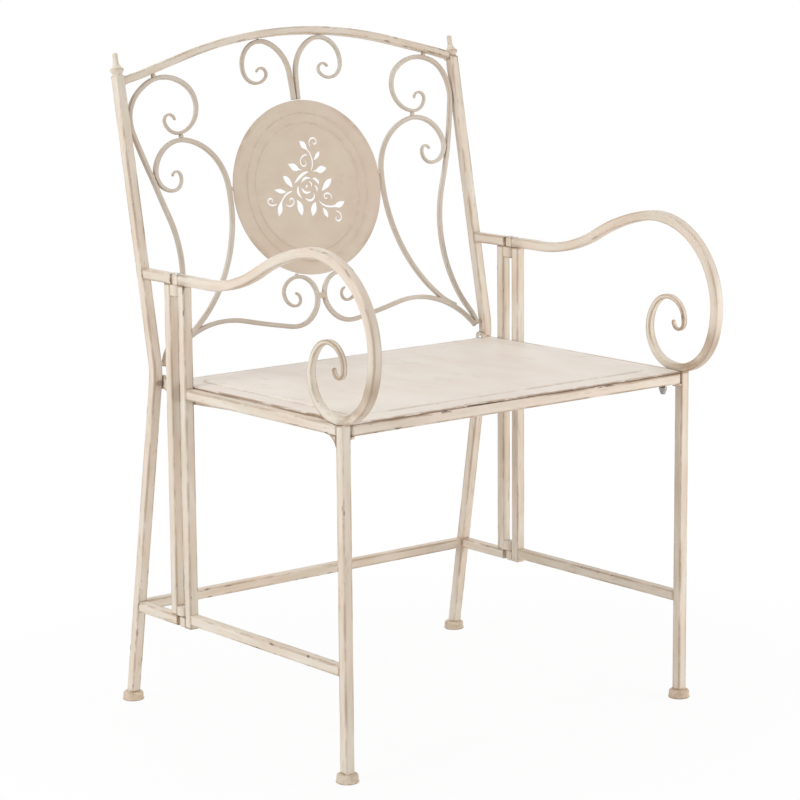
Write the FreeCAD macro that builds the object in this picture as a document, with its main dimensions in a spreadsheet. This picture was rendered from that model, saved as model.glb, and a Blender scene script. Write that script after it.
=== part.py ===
import FreeCAD, Part
import math
import os
import Sketcher

# Folding garden armchair of welded square tube and flat bar, in millimetres.
# X runs across the chair, +Y runs from the front to the back and +Z runs up from the floor.
# The origin lies on the floor under the middle of the chair.

Vector = FreeCAD.Vector
X_AXIS = Vector(1, 0, 0)
Z_AXIS = Vector(0, 0, 1)

# Driving dimensions: name, size and meaning
DIMENSIONS = [
    ("tube_side", 13.0, "side of the square tubes"),
    ("tube_corner", 1.5, "rounding along the edges of the tubes"),
    ("side_face", 285.0, "outer face of the side frames, from the middle"),
    ("leg_front", -215.5, "front face of the front legs"),
    ("leg_top", 438.0, "top of the front legs"),
    ("glide_radius", 14.3, "radius of the foot glides"),
    ("glide_height", 11.0, "height of the foot glides"),
    ("hinge_line", 129.4, "depth of the side frames' hinge line"),
    ("hinge_reach", 8.7, "hinge line to the faces of the two tubes beside it"),
    ("knuckle_radius", 6.5, "outer radius of a hinge knuckle"),
    ("knuckle_gap", 0.4, "gap between two hinge knuckles"),
    ("pin_radius", 2.5, "radius of the hinge pins"),
    ("pin_play", 0.05, "radial clearance of pins and bolts"),
    ("upper_split", 570.0, "height of the upper hinge's split"),
    ("lower_split", 138.7, "height of the lower hinge's split"),
    ("knuckle_height", 12.6, "height of one hinge knuckle"),
    ("tall_knuckle", 14.6, "height of the upper hinge's lower knuckle"),
    ("upright_foot", 125.5, "bottom of the side frames' uprights"),
    ("upright_top", 571.0, "top of the uprights, before the armrest is let in"),
    ("stile_top", 570.0, "top of the back frame's stiles"),
    ("low_rail_middle", 132.0, "middle height of the lower stubs and the rear stretcher"),
    ("high_rail_middle", 576.5, "middle height of the upper stubs"),
    ("stub_gap", 7.0, "hinge line to the front ends of the upper stubs"),
    ("stretcher_middle", 137.5, "middle height of the side stretchers"),
    ("bend_height", 451.0, "height of the bend in the back posts"),
    ("bend_depth", 182.4, "depth of the posts' middle line at the bend"),
    ("bend_radius", 80.0, "radius of the bend in the posts"),
    ("back_lean", 10.9, "lean of the upper posts, in degrees"),
    ("leg_splay", 9.33, "splay of the lower posts, in degrees"),
    ("post_top", 826.0, "top of the posts"),
    ("scroll_depth", 181.9, "depth of the scrollwork's plane at its zero height"),
    ("scroll_height", 440.0, "zero height of the scrollwork's plane"),
    ("scroll_foot", 15.0, "height of the scroll bars' lower ends, along the back"),
    ("scroll_bar", 6.0, "side of the scroll bars"),
    ("scroll_tip", 2.8, "width of a scroll bar at its drawn-out tip"),
    ("arch_bar", 10.0, "height of the arched top rail"),
    ("arch_spring", 391.5, "height of the arch at its ends, along the back"),
    ("arch_slope", 15.0, "slope of the arch at its ends, in degrees"),
    ("arch_radius", 666.0, "radius of the arch's crown"),
    ("arch_rise", 48.3, "rise of the arch from its ends to its crown"),
    ("disc_radius", 121.0, "radius of the medallion"),
    ("disc_middle", 228.0, "height of the medallion's centre, along the back"),
    ("disc_sheet", 1.0, "thickness of the medallion's sheet"),
    ("ring_rise", 0.8, "rise of the medallion's pressed rings"),
    ("ring_half", 2.4, "half width of those rings"),
    ("outer_ring", 98.0, "radius of the outer pressed ring"),
    ("inner_ring", 85.0, "radius of the inner pressed ring"),
    ("arm_bar", 13.0, "height of the armrest bar"),
    ("arm_tip", 3.2, "height of the armrest bar at its drawn-out tip"),
    ("arm_start", 576.0, "middle height of the armrest at its rear end"),
    ("pivot_depth", 181.5, "depth of the seat's pivot"),
    ("pivot_height", 437.0, "height of the seat's pivot"),
    ("bolt_radius", 2.5, "radius of the seat's pivot bolts"),
    ("bolt_seat", 8.0, "depth of the bolts' seats in the posts"),
    ("panel_half", 270.5, "half width of the seat panel"),
    ("panel_front", -214.5, "front edge of the seat panel"),
    ("panel_back", 166.5, "rear edge of the seat panel"),
    ("panel_top", 441.0, "top of the seat panel"),
    ("panel_sheet", 2.0, "thickness of the seat panel's rim"),
    ("panel_tray", 2.0, "depth of the tray under the panel's rim"),
    ("panel_border", 33.0, "width of the border round the raised field"),
    ("field_rise", 0.7, "rise of the field"),
    ("side_bar", 4.0, "thickness of the seat's side bars"),
    ("lug_radius", 9.0, "radius of the side bars' rear ends"),
    ("side_bar_drop", 7.0, "extra depth of the side bars towards the rear"),
    ("side_bar_bend", -35.0, "where the side bars start to deepen"),
    ("side_bar_full", 115.0, "where they reach their full depth"),
    ("side_bar_heel", 152.0, "where their lower edge turns up to the pivot"),
    ("support_top", 423.7, "top of the tabs that carry the seat's front rail"),
    ("support_sheet", 3.0, "thickness of those tabs"),
    ("support_reach", 9.0, "reach of a tab from the leg"),
    ("knob_axis", 244.3, "lock knob's axis, from the middle"),
    ("knob_radius", 5.4, "radius of the lock knob at its top"),
    ("knob_tip", 3.0, "radius of the lock knob at its bottom, and of its stud"),
    ("knob_height", 9.5, "height of the lock knob"),
    ("knob_neck", 2.3, "stud left open between the rail and the lock knob"),
    ("knob_seat", 5.0, "depth of the stud's seat in the front rail"),
    ("gusset_sheet", 4.0, "thickness of the corner gussets"),
    ("gusset_length", 20.0, "length of the gussets along the rail"),
    ("gusset_height", 14.0, "height of the gussets along the leg"),
]

# Routes of the bent bars, as tangent bends: radius and turn in degrees, left turns positive
ARM_BENDS = [(920, 3.3), (232.6, -29.8), (298.5, 18.5), (112, 121.6), (65.4, 86.5),
             (47.9, 117.7), (29, 142), (9.6, 185)]
ARM_HEADING = 178.1
TOP_BENDS = [(476, -4.5), (51.2, -61.1), (32.9, -125.7), (20.3, -127.5), (8, -202)]
TOP_START = (3.5, 347.5)
TOP_HEADING = 89.6
CORNER_BENDS = [(8.4, -196), (20.4, -79.5), (35.6, -134.4), (55.5, -143.2), (1083, -6.3),
                (179, 57.7), (63.8, -26)]
CORNER_START = (201, 334.5)
CORNER_HEADING = 88.6
INNER_BENDS = [(6.7, 155.9), (15.2, 102.4), (23.9, 109.7), (46.8, 85.5), (73.1, 73.9),
               (209.8, 56.6), (90, 12), (None, 6)]
INNER_START = (216, 262.5)
INNER_HEADING = 97.9
BOTTOM_BENDS = [(8.7, 175.4), (17.9, 133.6), (29.2, 154.6), (41.4, 65.3), (45.4, 11.6),
                (1176, 3.7), (132, -66)]
BOTTOM_START = (42, 90)
BOTTOM_HEADING = -171.0

# Weld beads where the scroll bars meet each other, the medallion and the arch
BEAD_RADIUS = 3.4
BEAD_SPOTS = [(194, 313), (125.2, 238), (36, 113), (50, 430), (226, 396), (247, 265), (268.3, 20)]
COLLAR_SIZE = (13.0, 8.0, 7.0)
COLLAR_HEIGHT = 83.0

# The rose in the medallion: rings of petals (radius, width, count, span, first angle)
ROSE_CENTRE = 2.2
ROSE_RINGS = [(6.4, 3.4, 2, 130, 20), (11.6, 3.8, 3, 92, 65), (17.2, 4.4, 3, 80, 120)]

# Its three sprigs, by angle from the sprig's axis and distance from the rose's centre
SPRIG_AXES = [90.0, 210.0, 330.0]
SPRIG_LEAVES = [(1.5, 57, 16, 9, 35), (-29, 45, 14, 6.4, -32), (34, 34.5, 17.5, 9.6, 62),
                (-50, 33.5, 17.5, 9.6, -68)]
SPRIG_STEM = [(-16, 21.5), (-14.5, 37.5), (-4, 51)]
STEM_SLIT = 2.6
SPRIG_TENDRILS = [(-17, 62.5, 130, -1), (9, 37, -20, 1)]
TENDRIL_RUNS = [(5.4, 190), (3.9, 130), (2.3, 110)]
TENDRIL_SLIT = 2.6
TENDRIL_TIP = 1.8

doc = FreeCAD.newDocument("garden_armchair")
sheet = doc.addObject("Spreadsheet::Sheet", "Sizes")
nodes = []


def fill_sheet():
    """Write the driving dimensions, one row each, with their names as aliases."""
    for row, (name, value, meaning) in enumerate(DIMENSIONS, start=1):
        sheet.set(f"A{row}", name)
        sheet.set(f"B{row}", str(value))
        sheet.set(f"C{row}", meaning)
        sheet.setAlias(f"B{row}", name)
    doc.recompute()


def size(name):
    """Read one driving dimension."""
    return float(sheet.get(name))


def sized(words):
    """Turn dimension names in a formula into references to the sheet."""
    names = sorted((entry[0] for entry in DIMENSIONS), key=len, reverse=True)
    out = ""
    word = ""
    for letter in words + " ":
        if letter.isalnum() or letter == "_":
            word += letter
            continue
        out += f"<<Sizes>>.{word}" if word in names else word
        out += letter
        word = ""
    return out.strip()


def new_body(label):
    """Start a body of its own."""
    return doc.addObject("PartDesign::Body", label)


def sketch_on(body, label, role="XY_Plane"):
    """Attach a new sketch to one of the body's own origin planes."""
    sketch = body.newObject("Sketcher::SketchObject", label)
    plane = next(f for f in body.Origin.OriginFeatures if f.Role == role)
    sketch.AttachmentSupport = (plane, [""])
    sketch.MapMode = "FlatFace"
    return sketch


def place(thing, across="0", deep="0", high="0", turn=None):
    """Bind the object's place to the sheet, and turn it."""
    if turn is not None:
        thing.Placement = FreeCAD.Placement(Vector(), turn)
    thing.setExpression("Placement.Base.x", sized(across))
    thing.setExpression("Placement.Base.y", sized(deep))
    thing.setExpression("Placement.Base.z", sized(high))


def draw_rectangle(sketch, wide, deep):
    """Draw a rectangle round the sketch's origin, with its two sides bound to the sheet."""
    corners = [Vector(-1, -1, 0), Vector(1, -1, 0), Vector(1, 1, 0), Vector(-1, 1, 0)]
    for index in range(4):
        sketch.addGeometry(Part.LineSegment(corners[index], corners[(index + 1) % 4]))
    for index in range(4):
        sketch.addConstraint(Sketcher.Constraint("Coincident", index, 2, (index + 1) % 4, 1))
    for index, way in enumerate(["Horizontal", "Vertical", "Horizontal", "Vertical"]):
        sketch.addConstraint(Sketcher.Constraint(way, index))
    sketch.addConstraint(Sketcher.Constraint("Symmetric", 0, 1, 1, 2, -1, 1))
    for index, name, words in ((0, "wide", wide), (1, "deep", deep)):
        kind = "DistanceX" if index == 0 else "DistanceY"
        number = sketch.addConstraint(Sketcher.Constraint(kind, index, 1, index, 2, 2.0))
        sketch.renameConstraint(number, name)
        sketch.setExpression(f"Constraints.{name}", sized(words))


def draw_loop(sketch, edges):
    """Add a closed run of lines and arcs, pinned where its numbers put it."""
    first = sketch.GeometryCount
    for edge in edges:
        sketch.addGeometry(edge)
    for index in range(len(edges)):
        sketch.addConstraint(Sketcher.Constraint("Block", first + index))


def pad(body, sketch, length, symmetric=False):
    """Raise a sketch into a solid of a length bound to the sheet."""
    feature = body.newObject("PartDesign::Pad", f"{sketch.Name}_pad")
    feature.Profile = sketch
    feature.SideType = "Symmetric" if symmetric else "One side"
    feature.setExpression("Length", sized(length))
    doc.recompute()
    return feature


def pierce(body, sketch):
    """Cut a sketch right through the body, both ways, and make sure that it cut."""
    before = body.Shape.Volume
    feature = body.newObject("PartDesign::Pocket", f"{sketch.Name}_cut")
    feature.Profile = sketch
    feature.SideType = "Symmetric"
    feature.Type = "ThroughAll"
    doc.recompute()
    if not body.Shape.Volume < before - 1.0:
        raise ValueError(f"{sketch.Name} cut nothing")
    return feature


def revolve(body, sketch):
    """Turn a half profile once round the sketch's upright axis."""
    feature = body.newObject("PartDesign::Revolution", f"{sketch.Name}_turned")
    feature.Profile = sketch
    feature.ReferenceAxis = (sketch, ["V_Axis"])
    feature.Angle = 360.0
    doc.recompute()
    return feature


def round_edges(body, base, radius, wanted):
    """Round the edges of a feature that the test picks out."""
    picked = [f"Edge{i}" for i, e in enumerate(base.Shape.Edges, start=1) if wanted(e)]
    feature = body.newObject("PartDesign::Fillet", f"{base.Name}_rounded")
    feature.Base = (base, picked)
    feature.setExpression("Radius", sized(radius))
    doc.recompute()
    return feature


def along(direction):
    """Make a test for straight edges that run along a direction."""
    def test(edge):
        if not isinstance(edge.Curve, Part.Line):
            return False
        return abs(edge.Curve.Direction.dot(direction)) > 0.999
    return test


def long_edge(limit):
    """Make a test for edges longer than a limit."""
    return lambda edge: edge.Length > limit


def keep(thing, label=None):
    """Hand a finished sub-part over for checking and writing."""
    if label is not None:
        thing.Label = label
    nodes.append(thing)
    return thing


def mirror(source, label):
    """Make the left-hand twin of a right-hand sub-part."""
    twin = doc.addObject("Part::Mirroring", label)
    twin.Source = source
    twin.Base = Vector()
    twin.Normal = X_AXIS
    doc.recompute()
    return keep(twin)


def pair(thing, stem):
    """Keep a right-hand sub-part and its left-hand twin."""
    keep(thing, f"{stem}_right")
    mirror(thing, f"{stem}_left")


def boolean(kind, base, tool, label):
    """Cut, or keep in common, one object with another."""
    result = doc.addObject(f"Part::{kind}", label)
    result.Base = base
    result.Tool = tool
    doc.recompute()
    return result


def straight_tube(label, length, turn=None, wide="tube_side", deep="tube_side"):
    """Make a straight tube with rounded edges, along its own Z axis."""
    body = new_body(label)
    section = sketch_on(body, f"{label}_section")
    draw_rectangle(section, wide, deep)
    raised = pad(body, section, length)
    round_edges(body, raised, "tube_corner", along(Z_AXIS))
    if turn is not None:
        body.Placement = FreeCAD.Placement(Vector(), turn)
    return body


# Outline of a bent bar

def polar(angle, length=1.0):
    """Give the vector of a length at an angle in degrees."""
    return Vector(length * math.cos(math.radians(angle)), length * math.sin(math.radians(angle)), 0)


def edge_point(point, heading, reach, cut):
    """Step sideways from the route, along the cut across the bar's end where there is one."""
    side = polar(heading + 90.0, reach)
    if cut is None:
        return point + side
    forward = polar(heading)
    slip = side.dot(polar(cut + 90.0)) / forward.dot(polar(cut + 90.0))
    return point + side - forward * slip


def bar_outline(start, heading, runs, bar, tip=None, tip_first=False, taper=0,
                start_cut=None, end_cut=None):
    """Build the closed outline of a bar along runs (radius, turn) or (None, length).

    The bar narrows evenly to its tip over the number of runs that taper gives, counted
    from the tip's end.
    """
    lengths = [r * math.radians(abs(t)) if r else t for r, t in runs]
    count = len(runs)
    order = range(count) if tip_first else range(count - 1, -1, -1)
    tapered = list(order)[:taper]
    total = sum(lengths[i] for i in tapered) or 1.0

    def width(index, share):
        run_done = sum(lengths[:index]) + lengths[index] * share
        from_tip = run_done if tip_first else sum(lengths) - run_done
        if not taper or from_tip >= total:
            return bar
        return tip + (bar - tip) * from_tip / total

    left = []
    right = []
    point = Vector(start[0], start[1], 0)
    for index, (radius, turn) in enumerate(runs):
        stops = []
        for share in (0.0, 0.5, 1.0):
            if radius:
                way = 1.0 if turn > 0 else -1.0
                centre = point + polar(heading + 90.0, radius * way)
                angle = heading + turn * share
                spot = centre - polar(angle + 90.0, radius * way)
            else:
                angle = heading
                spot = point + polar(heading, turn * share)
            cut = start_cut if index == 0 and share == 0.0 else None
            cut = end_cut if index == count - 1 and share == 1.0 else cut
            half = width(index, share) / 2.0
            stops.append((edge_point(spot, angle, half, cut),
                          edge_point(spot, angle, -half, cut)))
        for side, places in ((0, left), (1, right)):
            places.append((radius, [stop[side] for stop in stops]))
        if radius:
            heading += turn
        point = spot
    return join_outline(left, right)


def join_outline(left, right):
    """Close the two edges of a bar into one loop of lines and arcs."""
    edges = []
    for radius, (first, middle, last) in left:
        edges.append(Part.Arc(first, middle, last) if radius else Part.LineSegment(first, last))
    edges.append(Part.LineSegment(left[-1][1][2], right[-1][1][2]))
    for radius, (first, middle, last) in reversed(right):
        edges.append(Part.Arc(last, middle, first) if radius else Part.LineSegment(last, first))
    edges.append(Part.LineSegment(right[0][1][0], left[0][1][0]))
    return edges


def profile_body(label, edges, thickness):
    """Raise an outline drawn in the side view, depth by height, both ways across the chair."""
    body = new_body(label)
    outline = sketch_on(body, f"{label}_outline", "YZ_Plane")
    draw_loop(outline, edges)
    pad(body, outline, thickness, symmetric=True)
    return body


def back_turn():
    """Give the turn of the scrollwork's plane, whose X is across and Y is up the back."""
    return FreeCAD.Rotation(X_AXIS, 90.0 - size("back_lean"))


def back_body(label, edges, thickness):
    """Raise an outline drawn in the plane of the back, half to each side of that plane."""
    body = new_body(label)
    outline = sketch_on(body, f"{label}_outline")
    draw_loop(outline, edges)
    pad(body, outline, thickness, symmetric=True)
    place(body, deep="scroll_depth", high="scroll_height", turn=back_turn())
    return body


# Back frame: posts, rails and stiles

def post_line(height):
    """Give the depth of the posts' straight middle line at a height."""
    rise = height - size("bend_height")
    slope = size("back_lean") if rise > 0 else -size("leg_splay")
    return size("bend_depth") + rise * math.tan(math.radians(slope))


def make_post():
    """Make a post: a tube bent once at seat height, leaning back above and splayed below."""
    half_turn = (size("back_lean") + size("leg_splay")) / 2.0
    trim = size("bend_radius") * math.tan(math.radians(half_turn))
    foot = size("glide_height")
    lower = (size("bend_height") - foot) / math.cos(math.radians(size("leg_splay"))) - trim
    upper = (size("post_top") - size("bend_height")) / math.cos(math.radians(size("back_lean")))
    runs = [(None, lower), (size("bend_radius"), -2.0 * half_turn), (None, upper - trim)]
    edges = bar_outline((post_line(foot), foot), 90.0 + size("leg_splay"), runs,
                        size("tube_side"), start_cut=0.0)
    body = profile_body("post_tube", edges, "tube_side")
    round_edges(body, body.Tip, "tube_corner", lambda e: e.Length > size("tube_side") + 1.0)
    place(body, across="side_face - tube_side / 2")
    seat = doc.addObject("Part::Cylinder", "post_bolt_seat")
    seat.setExpression("Radius", sized("bolt_radius + pin_play"))
    seat.setExpression("Height", sized("bolt_seat"))
    place(seat, "side_face - tube_side", "pivot_depth", "pivot_height",
          FreeCAD.Rotation(Vector(0, 1, 0), 90))
    return boolean("Cut", body, seat, "post")


def make_finial():
    """Make the turned knob that closes a post: a flared collar under a short stub."""
    body = new_body("finial_turning")
    outline = sketch_on(body, "finial_half", "XZ_Plane")
    foot, collar, stub, flat = 6.4, 8.8, 3.6, 0.8
    foot_top, collar_low, collar_top, waist_height, shoulder_height, top = 2, 6, 8.5, 19, 27, 29.5
    points = [Vector(0, 0, 0), Vector(foot, 0, 0), Vector(foot, foot_top, 0),
              Vector(collar, collar_low, 0), Vector(collar, collar_top, 0)]
    edges = [Part.LineSegment(a, b) for a, b in zip(points, points[1:])]
    waist = Vector(stub, waist_height, 0)
    hollow = Vector((collar + stub) / 2.0 - 1.0, (collar_top + waist_height) / 2.0 - 1.2, 0)
    shoulder = Vector(stub, shoulder_height, 0)
    crown = Vector(flat, top, 0)
    round_off = Vector((stub + flat) / 2.0 + 0.5, (shoulder_height + top) / 2.0 + 0.55, 0)
    edges.append(Part.Arc(points[-1], hollow, waist))
    edges.append(Part.LineSegment(waist, shoulder))
    edges.append(Part.Arc(shoulder, round_off, crown))
    edges.append(Part.LineSegment(crown, Vector(0, top, 0)))
    edges.append(Part.LineSegment(Vector(0, top, 0), points[0]))
    draw_loop(outline, edges)
    revolve(body, outline)
    lean = FreeCAD.Rotation(X_AXIS, -size("back_lean"))
    place(body, "side_face - tube_side / 2",
          "bend_depth + (post_top - bend_height) * tan(back_lean * 1deg)", "post_top", lean)
    return body


def make_stub(label, middle, slope, front, post):
    """Make a short rail from near the hinge back to the post, coped to the post's slope."""
    post_depth = f"bend_depth + abs({middle} - bend_height) * tan({slope} * 1deg)"
    turn = FreeCAD.Rotation(X_AXIS, -90)
    body = straight_tube(f"{label}_tube", f"{post_depth} - hinge_line - {front}", turn)
    place(body, "side_face - tube_side / 2", f"hinge_line + {front}", middle, turn)
    return boolean("Cut", body, post, label)


def make_back_frame():
    """Make the posts, finials, stiles, stubs, rear stretcher and the rear foot glides."""
    post = make_post()
    pair(post, "back_post")
    pair(make_finial(), "finial")
    upper = make_stub("upper_stub", "high_rail_middle", "back_lean", "stub_gap", post)
    pair(upper, "upper_stub")
    lower = make_stub("lower_stub", "low_rail_middle", "leg_splay", "hinge_reach", post)
    pair(lower, "lower_stub")

    stile = straight_tube("stile_tube", "stile_top - low_rail_middle - tube_side / 2")
    place(stile, "side_face - tube_side / 2", "hinge_line + hinge_reach + tube_side / 2",
          "low_rail_middle + tube_side / 2")
    pair(stile, "stile")

    turn = FreeCAD.Rotation(Vector(0, 1, 0), 90)
    rail = straight_tube("rear_stretcher", "2 * (side_face - tube_side)", turn)
    drop = "(bend_height - low_rail_middle) * tan(leg_splay * 1deg)"
    place(rail, "tube_side - side_face", f"bend_depth + {drop}", "low_rail_middle", turn)
    keep(rail)

    foot = "bend_depth + (bend_height - glide_height / 2) * tan(leg_splay * 1deg)"
    pair(make_glide("rear_glide_turning", foot), "rear_glide")


def make_glide(label, deep):
    """Make a round foot glide with a rolled rim, under a leg at the given depth."""
    body = new_body(label)
    outline = sketch_on(body, f"{label}_half", "XZ_Plane")
    wide = size("glide_radius")
    high = size("glide_height")
    rim_low, rim_high, rim_inset, neck = 3.6, 5.2, 3.0, 9.4
    points = [Vector(wide - rim_inset, 0, 0), Vector(wide, rim_low, 0), Vector(wide, rim_high, 0),
              Vector(neck, high, 0), Vector(0, high, 0), Vector(0, 0, 0)]
    edges = [Part.Arc(points[0], Vector(wide - 0.3 * rim_inset, rim_low / 3.0, 0), points[1]),
             Part.LineSegment(points[1], points[2]),
             Part.Arc(points[2], Vector((wide + neck) / 2.0 + 1.0, (rim_high + high) / 2.0, 0),
                      points[3])]
    edges += [Part.LineSegment(a, b) for a, b in zip(points[3:], points[4:] + points[:1])]
    draw_loop(outline, edges)
    revolve(body, outline)
    place(body, "side_face - tube_side / 2", deep)
    return body


# Scrollwork of the back

def make_arch():
    """Make the top rail: two straight shoulders and a wide round crown."""
    reach = size("side_face") - size("tube_side")
    slope = math.radians(size("arch_slope"))
    radius = size("arch_radius")
    flat = radius * math.sin(slope)
    shoulder = (reach - flat) / math.cos(slope)
    runs = [(None, shoulder), (radius, -2.0 * size("arch_slope")), (None, shoulder)]
    crown = size("arch_spring") + size("arch_rise")
    spring = crown - radius * (1.0 - math.cos(slope)) - shoulder * math.sin(slope)
    edges = bar_outline((-reach, spring), size("arch_slope"), runs, size("arch_bar"),
                        start_cut=90.0, end_cut=90.0)
    body = back_body("arch_rail", edges, "tube_side")
    round_edges(body, body.Tip, "tube_corner", long_edge(size("tube_side") + 1.0))
    return keep(body)


def crescent(centre, radius, width, middle, span):
    """Draw a crescent: two arcs that meet in points, bulging by the width at the middle."""
    first = centre + polar(middle - span / 2.0, radius)
    last = centre + polar(middle + span / 2.0, radius)
    outer = centre + polar(middle, radius + width / 2.0)
    inner = centre + polar(middle, radius - width / 2.0)
    return [Part.Arc(first, outer, last), Part.Arc(last, inner, first)]


def leaf(centre, length, width, angle):
    """Draw a leaf: two arcs that meet in two points."""
    tip = centre + polar(angle, length / 2.0)
    stalk = centre - polar(angle, length / 2.0)
    return [Part.Arc(tip, centre + polar(angle + 90, width / 2.0), stalk),
            Part.Arc(stalk, centre - polar(angle + 90, width / 2.0), tip)]


def tendril(centre, start, way):
    """Draw a tendril's open spiral from a start angle, turning left (1) or right (-1)."""
    begin = centre + polar(start, TENDRIL_RUNS[0][0])
    runs = [(radius, way * turn) for radius, turn in TENDRIL_RUNS]
    return bar_outline((begin.x, begin.y), start + way * 90.0, runs, TENDRIL_SLIT,
                       TENDRIL_TIP, taper=2)


def sprig_leaves(axis):
    """Draw the four leaves of one of the rose's three sprigs."""
    return [leaf(polar(axis + angle, distance), length, width, axis + lean)
            for angle, distance, length, width, lean in SPRIG_LEAVES]


def sprig_lines(axis):
    """Draw the stem and the two tendrils of a sprig."""
    foot, bow, head = (polar(axis + angle, distance) for angle, distance in SPRIG_STEM)
    bow_back = bow + polar(axis + 90.0, STEM_SLIT)
    loops = [[Part.Arc(foot, bow, head), Part.Arc(head, bow_back, foot)]]
    for angle, distance, start, way in SPRIG_TENDRILS:
        loops.append(tendril(polar(axis + angle, distance), axis + start, way))
    return loops


def rose():
    """Draw the rose's petals: rings of crescents round a small centre, each ring turned."""
    loops = [[Part.Circle(Vector(), Z_AXIS, ROSE_CENTRE)]]
    for radius, width, count, span, first in ROSE_RINGS:
        for number in range(count):
            middle = first + 360.0 * number / count
            loops.append(crescent(Vector(), radius, width, middle, span))
    return loops


def make_medallion():
    """Make the round sheet with two pressed rings, pierced with a rose and three sprigs."""
    body = new_body("medallion")
    outline = sketch_on(body, "medallion_half", "XZ_Plane")
    rim = size("disc_radius")
    half = size("disc_sheet") / 2.0
    bead = size("ring_half")
    face = [Vector(rim, half, 0)]
    edges = []
    for radius in (size("outer_ring"), size("inner_ring")):
        start = Vector(radius + bead, half, 0)
        finish = Vector(radius - bead, half, 0)
        edges.append(Part.LineSegment(face[-1], start))
        edges.append(Part.Arc(start, Vector(radius, half + size("ring_rise"), 0), finish))
        face.append(finish)
    corners = [face[-1], Vector(0, half, 0), Vector(0, -half, 0), Vector(rim, -half, 0), face[0]]
    edges += [Part.LineSegment(a, b) for a, b in zip(corners, corners[1:])]
    draw_loop(outline, edges)
    revolve(body, outline)
    lines = sketch_on(body, "rose_lines")
    leaves = sketch_on(body, "rose_leaves")
    for loop in rose():
        draw_loop(leaves, loop)
    for axis in SPRIG_AXES:
        for loop in sprig_leaves(axis):
            draw_loop(leaves, loop)
        for loop in sprig_lines(axis):
            draw_loop(lines, loop)
    pierce(body, leaves)
    pierce(body, lines)
    lean = "(90 - back_lean) * 1deg"
    place(body, "0", f"scroll_depth + disc_middle * cos({lean})",
          f"scroll_height + disc_middle * sin({lean})", back_turn())
    return keep(body)


def make_clip():
    """Make the block that bounds the scrolls: between the posts and above the bars' feet."""
    wide = "2 * (side_face - tube_side)"
    block = doc.addObject("Part::Box", "between_posts")
    block.setExpression("Length", sized(wide))
    block.setExpression("Width", sized("arch_spring + arch_rise - scroll_foot"))
    deep = 40.0
    block.Height = deep
    turn = back_turn()
    corner = turn.multVec(Vector(0, size("scroll_foot"), -deep / 2.0))
    place(block, f"-({wide}) / 2", f"scroll_depth + {corner.y}", f"scroll_height + {corner.z}", turn)
    return block


def make_disc_edge():
    """Make the cylinder that scrolls are cut back to where they meet the medallion."""
    disc = doc.addObject("Part::Cylinder", "medallion_edge")
    disc.setExpression("Radius", sized("disc_radius"))
    deep = 20.0
    disc.Height = deep
    turn = back_turn()
    middle = turn.multVec(Vector(0, size("disc_middle"), -deep / 2.0))
    place(disc, "0", f"scroll_depth + {middle.y}", f"scroll_height + {middle.z}", turn)
    return disc


def scroll(label, start, heading, bends, tip_first=True):
    """Make one scroll bar, drawn out to its tip over its three tightest bends."""
    edges = bar_outline(start, heading, bends, size("scroll_bar"), size("scroll_tip"),
                        tip_first=tip_first, taper=3)
    return back_body(label, edges, "scroll_bar")


def make_scrolls(arch):
    """Make the four pairs of scrolls, with their ends let into what they are welded to."""
    clip = make_clip()
    disc = make_disc_edge()

    top = scroll("scroll_top_bar", TOP_START, TOP_HEADING, TOP_BENDS, tip_first=False)
    top = boolean("Cut", top, arch, "scroll_top_clear")
    pair(boolean("Cut", top, disc, "scroll_top"), "top_scroll")

    corner = scroll("scroll_corner_bar", CORNER_START, CORNER_HEADING, CORNER_BENDS)
    corner = boolean("Common", corner, clip, "scroll_corner")
    pair(corner, "corner_scroll")

    bottom = scroll("scroll_bottom_bar", BOTTOM_START, BOTTOM_HEADING, BOTTOM_BENDS)
    bottom = boolean("Common", bottom, clip, "scroll_bottom_clipped")
    bottom = boolean("Cut", bottom, corner, "scroll_bottom_let_in")
    pair(boolean("Cut", bottom, disc, "scroll_bottom"), "bottom_scroll")

    inner = scroll("scroll_inner_bar", INNER_START, INNER_HEADING, INNER_BENDS)
    inner = boolean("Cut", inner, corner, "scroll_inner_clear")
    pair(boolean("Cut", inner, bottom, "scroll_inner"), "inner_scroll")


def make_beads():
    """Make the weld beads of the scrollwork and the collar that ties its lowest curls."""
    turn = back_turn()
    beads = []
    for side in (-1, 1):
        for number, (across, up) in enumerate(BEAD_SPOTS):
            bead = doc.addObject("Part::Cylinder", f"bead_{number}")
            bead.Radius = BEAD_RADIUS
            bead.setExpression("Height", sized("scroll_bar + 1"))
            corner = turn.multVec(Vector(side * across, up, -(size("scroll_bar") + 1.0) / 2.0))
            place(bead, f"{corner.x}", f"scroll_depth + {corner.y}",
                  f"scroll_height + {corner.z}", turn)
            beads.append(bead)
    wide, tall, deep = COLLAR_SIZE
    collar = doc.addObject("Part::Box", "curl_collar")
    collar.Length, collar.Width, collar.Height = COLLAR_SIZE
    corner = turn.multVec(Vector(-wide / 2.0, COLLAR_HEIGHT - tall / 2.0, -deep / 2.0))
    place(collar, f"{corner.x}", f"scroll_depth + {corner.y}", f"scroll_height + {corner.z}", turn)
    beads.append(collar)
    group = doc.addObject("Part::Compound", "scroll_weld_beads")
    group.Links = beads
    doc.recompute()
    return keep(group)


# Side frames and their hinges

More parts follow.
